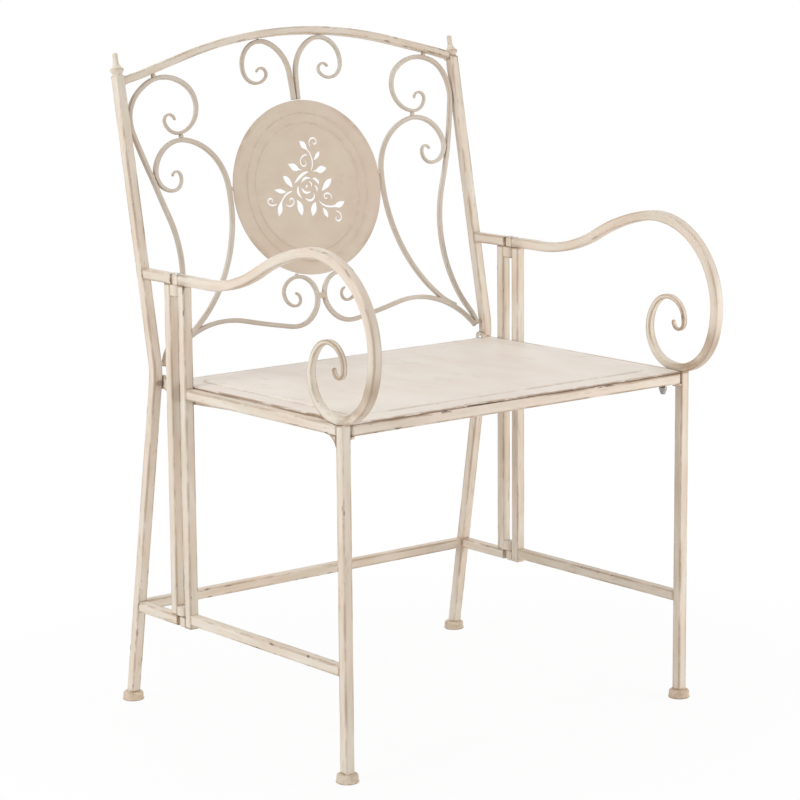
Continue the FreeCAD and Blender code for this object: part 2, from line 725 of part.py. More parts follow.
def make_side_frame():
    """Make one side frame: upright, armrest, seat-level rail, leg, stretcher and foot."""
    across = "side_face - tube_side / 2"
    arm_start = (size("hinge_line") - size("hinge_reach"), size("arm_start"))
    edges = bar_outline(arm_start, ARM_HEADING, ARM_BENDS, size("arm_bar"), size("arm_tip"),
                        taper=4, start_cut=90.0)
    arm = profile_body("armrest_bar", edges, "tube_side")
    place(arm, across)
    pair(arm, "armrest")

    upright = straight_tube("upright_tube", "upright_top - upright_foot")
    place(upright, across, "hinge_line - hinge_reach - tube_side / 2", "upright_foot")
    pair(boolean("Cut", upright, arm, "upright_let_in"), "side_upright")

    leg = straight_tube("front_leg_tube", "leg_top + 1 - glide_height")
    place(leg, across, "leg_front + tube_side / 2", "glide_height")
    pair(boolean("Cut", leg, arm, "front_leg_let_in"), "front_leg")

    length = "hinge_line - hinge_reach - 2 * tube_side - leg_front"
    turn = FreeCAD.Rotation(X_AXIS, -90)
    for stem, middle in (("seat_side_rail", "leg_top - tube_side / 2"),
                         ("side_stretcher", "stretcher_middle")):
        rail = straight_tube(f"{stem}_tube", length, turn)
        place(rail, across, "leg_front + tube_side", middle, turn)
        if stem == "seat_side_rail":
            rail = boolean("Cut", rail, arm, "seat_side_rail_let_in")
        pair(rail, stem)

    pair(make_glide("front_glide_turning", "leg_front + tube_side / 2"), "front_glide")
    pair(make_support(), "seat_support_tab")
    pair(make_gusset(), "corner_gusset")


def make_support():
    """Make the short tab on the leg that carries the end of the seat's front rail."""
    body = new_body("support_tab_plate")
    outline = sketch_on(body, "support_tab_outline")
    half = size("tube_side") / 2.0
    reach = size("support_reach")
    square = [Vector(0, -half, 0), Vector(half - reach, -half, 0), Vector(half - reach, half, 0),
              Vector(0, half, 0)]
    edges = [Part.LineSegment(square[0], square[1]),
             Part.Arc(square[1], Vector(-reach, 0, 0), square[2]),
             Part.LineSegment(square[2], square[3]),
             Part.LineSegment(square[3], square[0])]
    draw_loop(outline, edges)
    pad(body, outline, "support_sheet")
    place(body, "side_face - tube_side", "leg_front + tube_side / 2",
          "support_top - support_sheet")
    return body


def make_gusset():
    """Make the small hollow-edged gusset behind the leg, under the seat-level rail."""
    corner = Vector(size("leg_front") + size("tube_side"), size("leg_top") - size("tube_side"), 0)
    back = corner + Vector(size("gusset_length"), 0, 0)
    foot = corner - Vector(0, size("gusset_height"), 0)
    hollow = corner + (back + foot - corner * 2.0) * 0.33
    edges = [Part.LineSegment(corner, back),
             Part.Arc(back, hollow, foot),
             Part.LineSegment(foot, corner)]
    body = profile_body("gusset_plate", edges, "gusset_sheet")
    place(body, "side_face - gusset_sheet / 2")
    return body


def make_knuckle(label, height, towards_back):
    """Make a hinge knuckle: a bored barrel with a tongue to the tube that carries it."""
    body = new_body(label)
    outline = sketch_on(body, f"{label}_outline")
    radius = size("knuckle_radius")
    side = 1.0 if towards_back else -1.0
    tongue = side * size("hinge_reach")
    edges = [Part.LineSegment(Vector(radius, 0, 0), Vector(radius, tongue, 0)),
             Part.LineSegment(Vector(radius, tongue, 0), Vector(-radius, tongue, 0)),
             Part.LineSegment(Vector(-radius, tongue, 0), Vector(-radius, 0, 0)),
             Part.Arc(Vector(-radius, 0, 0), Vector(0, -side * radius, 0), Vector(radius, 0, 0))]
    draw_loop(outline, edges)
    draw_loop(outline, [Part.Circle(Vector(), Z_AXIS, size("pin_radius") + size("pin_play"))])
    pad(body, outline, height)
    return body


def make_pin(label, stem, low):
    """Make a headed hinge pin between two heights."""
    body = new_body(label)
    outline = sketch_on(body, f"{label}_half", "XZ_Plane")
    radius = size("pin_radius")
    head, head_radius, head_top = 1.2, radius + 1.3, radius + 0.9
    points = [Vector(0, -head, 0), Vector(head_top, -head, 0), Vector(head_radius, 0, 0),
              Vector(radius, 0, 0), Vector(radius, stem, 0), Vector(head_radius, stem, 0),
              Vector(head_top, stem + head, 0), Vector(0, stem + head, 0)]
    edges = [Part.LineSegment(a, b) for a, b in zip(points, points[1:] + points[:1])]
    draw_loop(outline, edges)
    revolve(body, outline)
    place(body, "side_face - tube_side / 2", "hinge_line", low)
    return body


def make_hinges():
    """Make both hinges of each side frame: a fixed and a moving knuckle on a headed pin."""
    across = "side_face - tube_side / 2"
    low_gap = "knuckle_gap / 2"
    fixed = make_knuckle("upper_fixed_barrel", "tall_knuckle", True)
    place(fixed, across, "hinge_line", f"upper_split - {low_gap} - tall_knuckle")
    pair(fixed, "upper_stile_knuckle")
    moving = make_knuckle("upper_moving_barrel", "knuckle_height", False)
    place(moving, across, "hinge_line", f"upper_split + {low_gap}")
    pair(moving, "upper_side_knuckle")
    fixed = make_knuckle("lower_fixed_barrel", "knuckle_height", True)
    place(fixed, across, "hinge_line", f"lower_split + {low_gap}")
    pair(fixed, "lower_stile_knuckle")
    moving = make_knuckle("lower_moving_barrel", "knuckle_height", False)
    place(moving, across, "hinge_line", f"lower_split - {low_gap} - knuckle_height")
    pair(moving, "lower_side_knuckle")

    lift = 0.2
    tall = size("tall_knuckle") + size("knuckle_gap") + size("knuckle_height") + lift
    short = 2.0 * size("knuckle_height") + size("knuckle_gap") + lift
    upper = make_pin("upper_pin", tall, f"upper_split - {low_gap} - tall_knuckle")
    lower = make_pin("lower_pin", short, f"lower_split - {low_gap} - knuckle_height - {lift}")
    group = doc.addObject("Part::Compound", "hinge_pins_both")
    group.Links = [upper, lower]
    doc.recompute()
    pair(group, "hinge_pins")


# Seat

RAIL_BOTTOM = "panel_top - panel_sheet - panel_tray - tube_side"


def make_seat():
    """Make the seat: a pressed panel on a front rail, a rear rail and two side bars."""
    middle = "(panel_front + panel_back) / 2"
    body = new_body("seat_panel")
    rim = sketch_on(body, "panel_rim")
    draw_rectangle(rim, "2 * panel_half", "panel_back - panel_front")
    raised = pad(body, rim, "panel_sheet")
    round_edges(body, raised, "side_bar", along(Z_AXIS))
    tray = sketch_on(body, "panel_tray_outline")
    draw_rectangle(tray, "2 * (panel_half - side_bar)", "panel_back - panel_front - side_bar")
    under = pad(body, tray, "panel_tray")
    under.Reversed = True
    field = sketch_on(body, "panel_field_outline")
    draw_rectangle(field, "2 * (panel_half - panel_border)",
                   "panel_back - panel_front - 2 * panel_border")
    pad(body, field, "panel_sheet + field_rise")
    place(body, "0", middle, "panel_top - panel_sheet")
    keep(body)

    flat = FreeCAD.Rotation(Vector(0, 1, 0), 90)
    under_panel = f"{RAIL_BOTTOM} + tube_side / 2"
    front = new_body("front_rail_bar")
    outline = sketch_on(front, "front_rail_outline")
    draw_rectangle(outline, "2 * panel_half", "tube_side")
    raised = pad(front, outline, "tube_side", symmetric=True)
    round_edges(front, raised, "2 * tube_corner", along(Z_AXIS))
    place(front, "0", "leg_front + tube_side / 2", under_panel)
    seat = doc.addObject("Part::Cylinder", "knob_stud_seat")
    seat.setExpression("Radius", sized("knob_tip + pin_play"))
    seat.setExpression("Height", sized("knob_seat"))
    place(seat, "knob_axis", "leg_front + tube_side / 2", RAIL_BOTTOM)
    keep(boolean("Cut", front, seat, "seat_front_rail"))

    rear = straight_tube("seat_rear_rail", "2 * (panel_half - side_bar)", flat)
    place(rear, "side_bar - panel_half", "panel_back - side_bar - tube_side / 2", under_panel,
          flat)
    keep(rear)
    pair(make_side_bar(), "seat_side_bar")


def make_side_bar():
    """Make a side bar of the seat: deeper towards the rear, with a round bored pivot end."""
    top = size("panel_top") - size("panel_sheet")
    low = top - size("panel_tray") - size("tube_side")
    deepest = low - size("side_bar_drop")
    front = size("leg_front") + size("tube_side")
    pivot = Vector(size("pivot_depth"), size("pivot_height"), 0)
    lug = size("lug_radius")
    lug_low, lug_back, lug_high = 245.0, 5.0, 125.0
    gap = 0.5
    rise = pivot + polar(lug_high, lug)
    notch = Vector(size("panel_back") + gap, top, 0)
    head = Vector(front, top, 0)
    points = [head, Vector(front, low, 0), Vector(size("side_bar_bend"), low, 0),
              Vector(size("side_bar_full"), deepest, 0), Vector(size("side_bar_heel"), deepest, 0),
              pivot + polar(lug_low, lug)]
    edges = [Part.LineSegment(a, b) for a, b in zip(points, points[1:])]
    edges.append(Part.Arc(points[-1], pivot + polar(lug_back, lug), rise))
    edges.append(Part.LineSegment(rise, notch))
    edges.append(Part.LineSegment(notch, head))
    edges.append(Part.Circle(pivot, Z_AXIS, size("bolt_radius") + size("pin_play")))
    body = profile_body("side_bar_plate", edges, "side_bar")
    place(body, "panel_half - side_bar / 2")
    return body


def make_bolts():
    """Make the two pivot bolts, each seated in its post with a collar and a domed head."""
    body = new_body("pivot_bolt_turning")
    outline = sketch_on(body, "pivot_bolt_half", "XZ_Plane")
    shank = size("bolt_radius")
    face = size("side_face") - size("tube_side")
    play, collar, head, head_side, dome, flat = 0.3, 5.2, 5.0, 1.2, 1.8, 0.8
    bar_out = size("panel_half") + play
    bar_in = size("panel_half") - size("side_bar") - play
    side = bar_in - head_side
    end = face + size("bolt_seat")
    points = [Vector(0, end, 0), Vector(shank, end, 0), Vector(shank, face, 0),
              Vector(collar, face, 0), Vector(collar, bar_out, 0), Vector(shank, bar_out, 0),
              Vector(shank, bar_in, 0), Vector(head, bar_in, 0), Vector(head, side, 0)]
    crown = Vector(flat, side - dome, 0)
    edges = [Part.LineSegment(a, b) for a, b in zip(points, points[1:])]
    edges.append(Part.Arc(points[-1], Vector(0.66 * head, side - 0.61 * dome, 0), crown))
    edges.append(Part.LineSegment(crown, Vector(0, crown.y, 0)))
    edges.append(Part.LineSegment(Vector(0, crown.y, 0), points[0]))
    draw_loop(outline, edges)
    revolve(body, outline)
    place(body, "0", "pivot_depth", "pivot_height", FreeCAD.Rotation(Vector(0, 1, 0), 90))
    pair(body, "seat_pivot_bolt")


def make_knob():
    """Make the lock knob: a tapered head under the front rail, its stud in the rail's seat."""
    body = new_body("lock_knob")
    outline = sketch_on(body, "lock_knob_half", "XZ_Plane")
    stud = size("knob_tip")
    head = size("knob_radius")
    drop = size("knob_height")
    band, end_gap = 2.5, 0.5
    rise = size("knob_neck") + size("knob_seat") - end_gap
    points = [Vector(0, -drop, 0), Vector(stud, -drop, 0), Vector(head, -band, 0),
              Vector(head, 0, 0), Vector(stud, 0, 0), Vector(stud, rise, 0), Vector(0, rise, 0)]
    edges = [Part.LineSegment(a, b) for a, b in zip(points, points[1:] + points[:1])]
    draw_loop(outline, edges)
    revolve(body, outline)
    place(body, "knob_axis", "leg_front + tube_side / 2", f"{RAIL_BOTTOM} - knob_neck")
    keep(body)


def check_and_write():
    """Stop on any failed object, then write each sub-part to its own file."""
    doc.recompute()
    for thing in doc.Objects:
        if "Invalid" in thing.State or "Error" in thing.State:
            raise ValueError(f"{thing.Label} failed: {thing.State}")
    os.makedirs("parts", exist_ok=True)
    for thing in nodes:
        shape = thing.Shape
        if shape.isNull() or not shape.isValid() or not shape.Solids:
            raise ValueError(f"{thing.Label} has no sound solid")
    for thing in nodes:
        thing.Shape.exportStep(f"parts/{thing.Label}.step")
        print(thing.Label, len(thing.Shape.Solids), round(thing.Shape.Volume))


fill_sheet()
make_back_frame()
top_rail = make_arch()
make_medallion()
make_scrolls(top_rail)
make_beads()
make_side_frame()
make_hinges()
make_seat()
make_bolts()
make_knob()
check_and_write()
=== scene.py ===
import logging
import math
from collections.abc import Callable
from dataclasses import dataclass, field
from enum import Enum

import bpy
from mathutils import Matrix, Vector, geometry, noise


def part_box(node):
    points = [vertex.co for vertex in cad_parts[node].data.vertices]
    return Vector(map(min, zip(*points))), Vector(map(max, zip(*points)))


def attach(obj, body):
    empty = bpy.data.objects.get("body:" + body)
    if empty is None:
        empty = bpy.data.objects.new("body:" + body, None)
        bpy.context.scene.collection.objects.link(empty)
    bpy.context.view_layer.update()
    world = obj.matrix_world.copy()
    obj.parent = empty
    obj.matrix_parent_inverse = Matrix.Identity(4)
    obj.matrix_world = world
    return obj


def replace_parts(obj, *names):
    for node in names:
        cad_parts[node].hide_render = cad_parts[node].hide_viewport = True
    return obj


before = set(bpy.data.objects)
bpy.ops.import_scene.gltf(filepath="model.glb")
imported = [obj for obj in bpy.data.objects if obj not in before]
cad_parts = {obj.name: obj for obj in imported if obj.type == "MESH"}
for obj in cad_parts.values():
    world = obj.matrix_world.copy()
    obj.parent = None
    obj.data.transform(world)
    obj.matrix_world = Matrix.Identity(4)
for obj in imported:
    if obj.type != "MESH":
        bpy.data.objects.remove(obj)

log = logging.getLogger("garden_armchair")

Pair = tuple[float, float]
Triple = tuple[float, float, float]
Colour = Triple
Cut = tuple[Triple, ...]
Socket = bpy.types.NodeSocket

MM = 0.001


def clamp(value: float) -> float:
    """Keep a share from 0 to 1."""
    return max(0.0, min(1.0, value))


def ease(value: float) -> float:
    """Ease a share from 0 to 1, level at both ends."""
    share = clamp(value)
    return share * share * (3 - 2 * share)


def bell(offset: float, width: float) -> float:
    """Give a bell curve's height: 1 in its middle, falling off within a width."""
    return math.exp(-(offset / width) ** 2)


def linear_share(value: int) -> float:
    """Turn one share of a written colour, 0 to 255, into the linear share."""
    share = value / 255.0
    return share / 12.92 if share <= 0.04045 else ((share + 0.055) / 1.055) ** 2.4


def srgb(red: int, green: int, blue: int) -> Colour:
    """Turn a colour as it is written, 0 to 255, into the linear numbers that shaders take."""
    return linear_share(red), linear_share(green), linear_share(blue)


class Side(Enum):
    """The two sides of the chair, as +X sees them."""

    RIGHT = "right"
    LEFT = "left"

    @property
    def sign(self) -> float:
        """Give the sign of X on this side."""
        return 1.0 if self is Side.RIGHT else -1.0

    @property
    def body(self) -> str:
        """Give the name of this side frame's body."""
        return f"side_{self.value}"


class Effect(Enum):
    """The shader effects that more than one finish uses, by the names of their node groups."""

    EDGE_WEAR = "edge_wear"
    # Brown glaze in shut-in corners, partly painted shade, and painted shade in narrow seams.
    RECESS = "recess_stain"
    BRUSHING = "brush_strokes"
    BLOTCHES = "rubbed_blotches"
    SKIN = "paint_skin"


class Run(Enum):
    """The way a straight tube runs, which is the way the brush was drawn along it."""

    UP = (1.0, 1.0, 0.10)
    DEEP = (1.0, 0.10, 1.0)
    ACROSS = (0.10, 1.0, 1.0)
    FLAT = (0.55, 0.22, 1.0)
    ROUND = (1.0, 1.0, 1.0)


# Shader building

class Board:
    """A node tree that is filled step by step."""

    def __init__(self, tree: bpy.types.NodeTree) -> None:
        """Start on an empty tree."""
        self.tree = tree

    def add(self, kind: str, **settings: object) -> bpy.types.Node:
        """Add a node and set its own settings.

        Args:
            kind: The node's type.
            settings: Its settings by name.

        Returns:
            The new node.
        """
        node = self.tree.nodes.new(kind)
        for name, value in settings.items():
            setattr(node, name, value)
        return node

    def feed(self, socket: Socket, value: object) -> None:
        """Link a socket, or set its own value.

        Args:
            socket: The input.
            value: Another socket, a number, or a row of numbers.
        """
        if isinstance(value, bpy.types.NodeSocket):
            self.tree.links.new(value, socket)
        elif isinstance(value, tuple) and len(value) == 3 and socket.type == "RGBA":
            socket.default_value = (*value, 1.0)
        else:
            socket.default_value = value

    def maths(self, operation: str, first: object, second: object = 0.0,
              clamped: bool = False) -> Socket:
        """Add a Math node.

        Args:
            operation: Its operation.
            first: Its first input.
            second: Its second input.
            clamped: True to keep the result from 0 to 1.

        Returns:
            The result.
        """
        node = self.add("ShaderNodeMath", operation=operation, use_clamp=clamped)
        self.feed(node.inputs[0], first)
        self.feed(node.inputs[1], second)
        return node.outputs[0]

    def times(self, first: object, second: object, clamped: bool = False) -> Socket:
        """Multiply two values."""
        return self.maths("MULTIPLY", first, second, clamped)

    def ramp(self, value: Socket, low: object, high: object, bottom: float = 0.0,
             top: float = 1.0) -> Socket:
        """Ease a value from one range into another.

        Args:
            value: The value.
            low: Where it starts to count.
            high: Where it counts in full.
            bottom: The result at low.
            top: The result at high.

        Returns:
            The eased value.
        """
        node = self.add("ShaderNodeMapRange", interpolation_type="SMOOTHSTEP")
        for name, entry in (("Value", value), ("From Min", low), ("From Max", high),
                            ("To Min", bottom), ("To Max", top)):
            self.feed(node.inputs[name], entry)
        return node.outputs["Result"]

    def noise(self, vector: Socket, scale: object, detail: float = 3.0,
              roughness: float = 0.55, distortion: float = 0.0) -> Socket:
        """Add a noise texture.

        Args:
            vector: Where it is read.
            scale: Its scale, in cells to the metre.
            detail: Its octaves.
            roughness: How much the finer octaves count.
            distortion: How far it is pulled about.

        Returns:
            Its value, about 0.5 in the middle.
        """
        node = self.add("ShaderNodeTexNoise")
        for name, entry in (("Vector", vector), ("Scale", scale), ("Detail", detail),
                            ("Roughness", roughness), ("Distortion", distortion)):
            self.feed(node.inputs[name], entry)
        return node.outputs["Fac"]

    def stretch(self, vector: Socket, factors: object) -> Socket:
        """Scale a vector along its axes.

        Args:
            vector: The vector.
            factors: One factor for each axis.

        Returns:
            The scaled vector.
        """
        node = self.add("ShaderNodeVectorMath", operation="MULTIPLY")
        self.feed(node.inputs[0], vector)
        self.feed(node.inputs[1], factors)
        return node.outputs[0]

    def blend(self, share: object, under: object, over: object) -> Socket:
        """Lay one colour over another.

        Args:
            share: How much of the upper colour shows.
            under: The lower colour.
            over: The upper colour.

        Returns:
            The mixed colour.
        """
        node = self.add("ShaderNodeMix", data_type="RGBA")
        self.feed(node.inputs[0], share)
        self.feed(node.inputs[6], under)
        self.feed(node.inputs[7], over)
        return node.outputs[2]

    def openness(self, distance: object, **settings: object) -> Socket:
        """Measure how open the surface lies round a point.

        Args:
            distance: How far it looks, in metres.
            settings: The node's own settings.

        Returns:
            1 where it is open, 0 where it is shut in.
        """
        node = self.add("ShaderNodeAmbientOcclusion", **settings)
        self.feed(node.inputs["Distance"], distance)
        return node.outputs["AO"]

    def bump(self, strength: float, distance: float, height: Socket,
             normal: Socket | None = None) -> Socket:
        """Turn a height into a normal.

        Args:
            strength: The share of the relief that shows.
            distance: The height of a full step, in metres.
            height: The height.
            normal: The normal under it, if not the mesh's own.

        Returns:
            The normal.
        """
        node = self.add("ShaderNodeBump")
        node.inputs["Strength"].default_value = strength
        node.inputs["Distance"].default_value = distance
        self.feed(node.inputs["Height"], height)
        if normal is not None:
            self.feed(node.inputs["Normal"], normal)
        return node.outputs["Normal"]

    def soft_normal(self, radius: float) -> Socket:
        """Round the edges off in the shading.

        Args:
            radius: The rounding, in metres.

        Returns:
            The softened normal.
        """
        node = self.add("ShaderNodeBevel", samples=6)
        node.inputs["Radius"].default_value = radius
        return node.outputs["Normal"]

    def effect(self, group: bpy.types.NodeTree, **values: object) -> bpy.types.Node:
        """Place a shared effect.

        Args:
            group: The effect's node group.
            values: Its inputs by name, with underscores for blanks.

        Returns:
            The group's node.
        """
        node = self.add("ShaderNodeGroup", node_tree=group)
        for name, value in values.items():
            self.feed(node.inputs[name.replace("_", " ")], value)
        return node


class Effects:
    """The shared effects, each a node group that is built once."""

    def __init__(self) -> None:
        """Build all the groups."""
        self.groups: dict[Effect, bpy.types.NodeTree] = {
            Effect.EDGE_WEAR: self.edge_wear(),
            Effect.RECESS: self.recess(),
            Effect.BRUSHING: self.brushing(),
            Effect.BLOTCHES: self.blotches(),
            Effect.SKIN: self.skin(),
        }

    @staticmethod
    def start(effect: Effect, takes: dict[str, str], gives: dict[str, str]
              ) -> tuple[Board, bpy.types.Node, bpy.types.Node]:
        """Open a node group with named sockets.

        Args:
            effect: Which effect it is.
            takes: The inputs' names and kinds.
            gives: The outputs' names and kinds.

        Returns:
            The board, its input node and its output node.
        """
        group = bpy.data.node_groups.new(effect.value, "ShaderNodeTree")
        for way, sockets in (("INPUT", takes), ("OUTPUT", gives)):
            for name, kind in sockets.items():
                group.interface.new_socket(name=name, in_out=way,
                                           socket_type=f"NodeSocket{kind}")
        board = Board(group)
        return board, board.add("NodeGroupInput"), board.add("NodeGroupOutput")

    def edge_wear(self) -> bpy.types.NodeTree:
        """Build the wear along outer edges: a rubbed band, a thin brown line in it, and chips.

        Returns:
            The node group.
        """
        board, given, made = self.start(
            Effect.EDGE_WEAR,
            {"Vector": "Vector", "Width": "Float", "Amount": "Float"},
            {"Rub": "Float", "Line": "Float", "Chip": "Float"})
        where = given.outputs["Vector"]
        depth = board.openness(given.outputs["Width"], samples=8, inside=True, only_local=True)
        band = board.ramp(depth, low=0.99, high=0.84)
        core = board.ramp(depth, low=0.90, high=0.74)
        patches = board.noise(where, scale=38.0, detail=3.0, roughness=0.6)
        grains = board.noise(where, scale=170.0, detail=2.0, roughness=0.6)
        mixed = board.maths("ADD", patches, board.times(grains, 0.22))
        rub = board.times(band, board.ramp(mixed, low=0.55, high=0.75))
        line = board.times(core, board.ramp(mixed, low=0.50, high=0.62))
        spots = board.ramp(board.noise(where, scale=210.0, detail=2.0, roughness=0.5),
                           low=0.60, high=0.66)
        rare = board.ramp(board.noise(where, scale=15.0, detail=2.0, roughness=0.5),
                          low=0.48, high=0.60)
        chip = board.times(board.times(spots, rare), band)
        for name, mask in (("Rub", rub), ("Line", line), ("Chip", chip)):
            board.feed(made.inputs[name], board.times(mask, given.outputs["Amount"], True))
        return board.tree

    def recess(self) -> bpy.types.NodeTree:
        """Build brown glaze in corners, partly painted shade, and a dark line of painted shade in a
        narrow seam.

        Returns:
            The node group.
        """
        board, given, made = self.start(
            Effect.RECESS, {"Vector": "Vector", "Reach": "Float", "Amount": "Float"},
            {"Stain": "Float", "Seam": "Float"})
        reach = given.outputs["Reach"]
        # Painted shade: the glaze goes where ambient occlusion finds the surface shut in.
        closed = board.ramp(board.openness(reach, samples=6), low=0.74, high=0.34)
        patches = board.noise(given.outputs["Vector"], scale=60.0, detail=4.0, roughness=0.65)
        stain = board.times(closed, board.ramp(patches, low=0.38, high=0.66))
        # Painted shade: a dark seam line where the surface is shut in within a short reach.
        tight = board.openness(board.times(reach, 0.35), samples=6)
        seam = board.ramp(tight, low=0.56, high=0.34)
        for name, mask in (("Stain", stain), ("Seam", seam)):
            board.feed(made.inputs[name], board.times(mask, given.outputs["Amount"], True))
        return board.tree

    def brushing(self) -> bpy.types.NodeTree:
        """Build the strokes of a brush: soft streaks, bristle marks, and a few dark hair lines.

        Returns:
            The node group.
        """
        board, given, made = self.start(
            Effect.BRUSHING, {"Vector": "Vector", "Fineness": "Float"},
            {"Strokes": "Float", "Bristles": "Float", "Hairs": "Float"})
        where, fineness = given.outputs["Vector"], given.outputs["Fineness"]
        broad = board.noise(where, fineness, detail=4.0, roughness=0.6, distortion=0.15)
        board.feed(made.inputs["Strokes"], board.ramp(broad, low=0.38, high=0.68))
        board.feed(made.inputs["Bristles"],
                   board.noise(where, board.times(fineness, 4.6), detail=2.0, roughness=0.5))
        thin = board.noise(where, board.times(fineness, 2.3), detail=3.0, roughness=0.6)
        rare = board.noise(where, board.times(fineness, 0.4), detail=2.0, roughness=0.5)
        board.feed(made.inputs["Hairs"],
                   board.times(board.ramp(thin, low=0.58, high=0.70),
                               board.ramp(rare, low=0.48, high=0.60)))
        return board.tree

    def blotches(self) -> bpy.types.NodeTree:
        """Build soft blotches where the glaze was wiped, and slow changes of the cream's hue.

        Returns:
            The node group.
        """
        board, given, made = self.start(
            Effect.BLOTCHES, {"Vector": "Vector", "Cells": "Float"},
            {"Blotch": "Float", "Hue": "Float"})
        where, cells = given.outputs["Vector"], given.outputs["Cells"]
        wide = board.noise(where, cells, detail=5.0, roughness=0.6, distortion=0.4)
        board.feed(made.inputs["Blotch"], board.ramp(wide, low=0.44, high=0.70))
        shifted = board.add("ShaderNodeVectorMath", operation="ADD")
        board.feed(shifted.inputs[0], where)
        board.feed(shifted.inputs[1], (3.1, 1.7, 5.3))
        slow = board.noise(shifted.outputs[0], board.times(cells, 1.9), detail=2.0, roughness=0.5)
        board.feed(made.inputs["Hue"], board.ramp(slow, low=0.36, high=0.64))
        return board.tree

    def skin(self) -> bpy.types.NodeTree:
        """Build the paint's own relief: faint orange peel under the bristle marks.

        Returns:
            The node group.
        """
        board, given, made = self.start(
            Effect.SKIN, {"Vector": "Vector", "Bristles": "Float", "Chip": "Float"},
            {"Height": "Float"})
        where = given.outputs["Vector"]
        peel = board.noise(where, scale=700.0, detail=2.0, roughness=0.45)
        waves = board.noise(where, scale=90.0, detail=2.0, roughness=0.5)
        raised = board.maths("ADD", board.times(peel, 0.30), board.times(waves, 0.45))
        raised = board.maths("ADD", raised, board.times(given.outputs["Bristles"], 0.4))
        board.feed(made.inputs["Height"],
                   board.maths("SUBTRACT", raised, board.times(given.outputs["Chip"], 0.9)))
        return board.tree

    def __getitem__(self, effect: Effect) -> bpy.types.NodeTree:
        """Give the node group of an effect."""
        return self.groups[effect]


# Finishes

# What a mesh tells its paint: how far along its bar a point lies, and how much brown or painted
# shade it holds.
BAR_WAY = "bar_way"
STAIN_AND_SHADE = "stain"


def blank_material(label: str) -> tuple[bpy.types.Material, Board, bpy.types.Node]:
    """Start a material.

    Args:
        label: Its name.

    Returns:
        The material, its board and its shader.
    """
    material = bpy.data.materials.new(label)
    material.use_nodes = True
    return material, Board(material.node_tree), material.node_tree.nodes["Principled BSDF"]


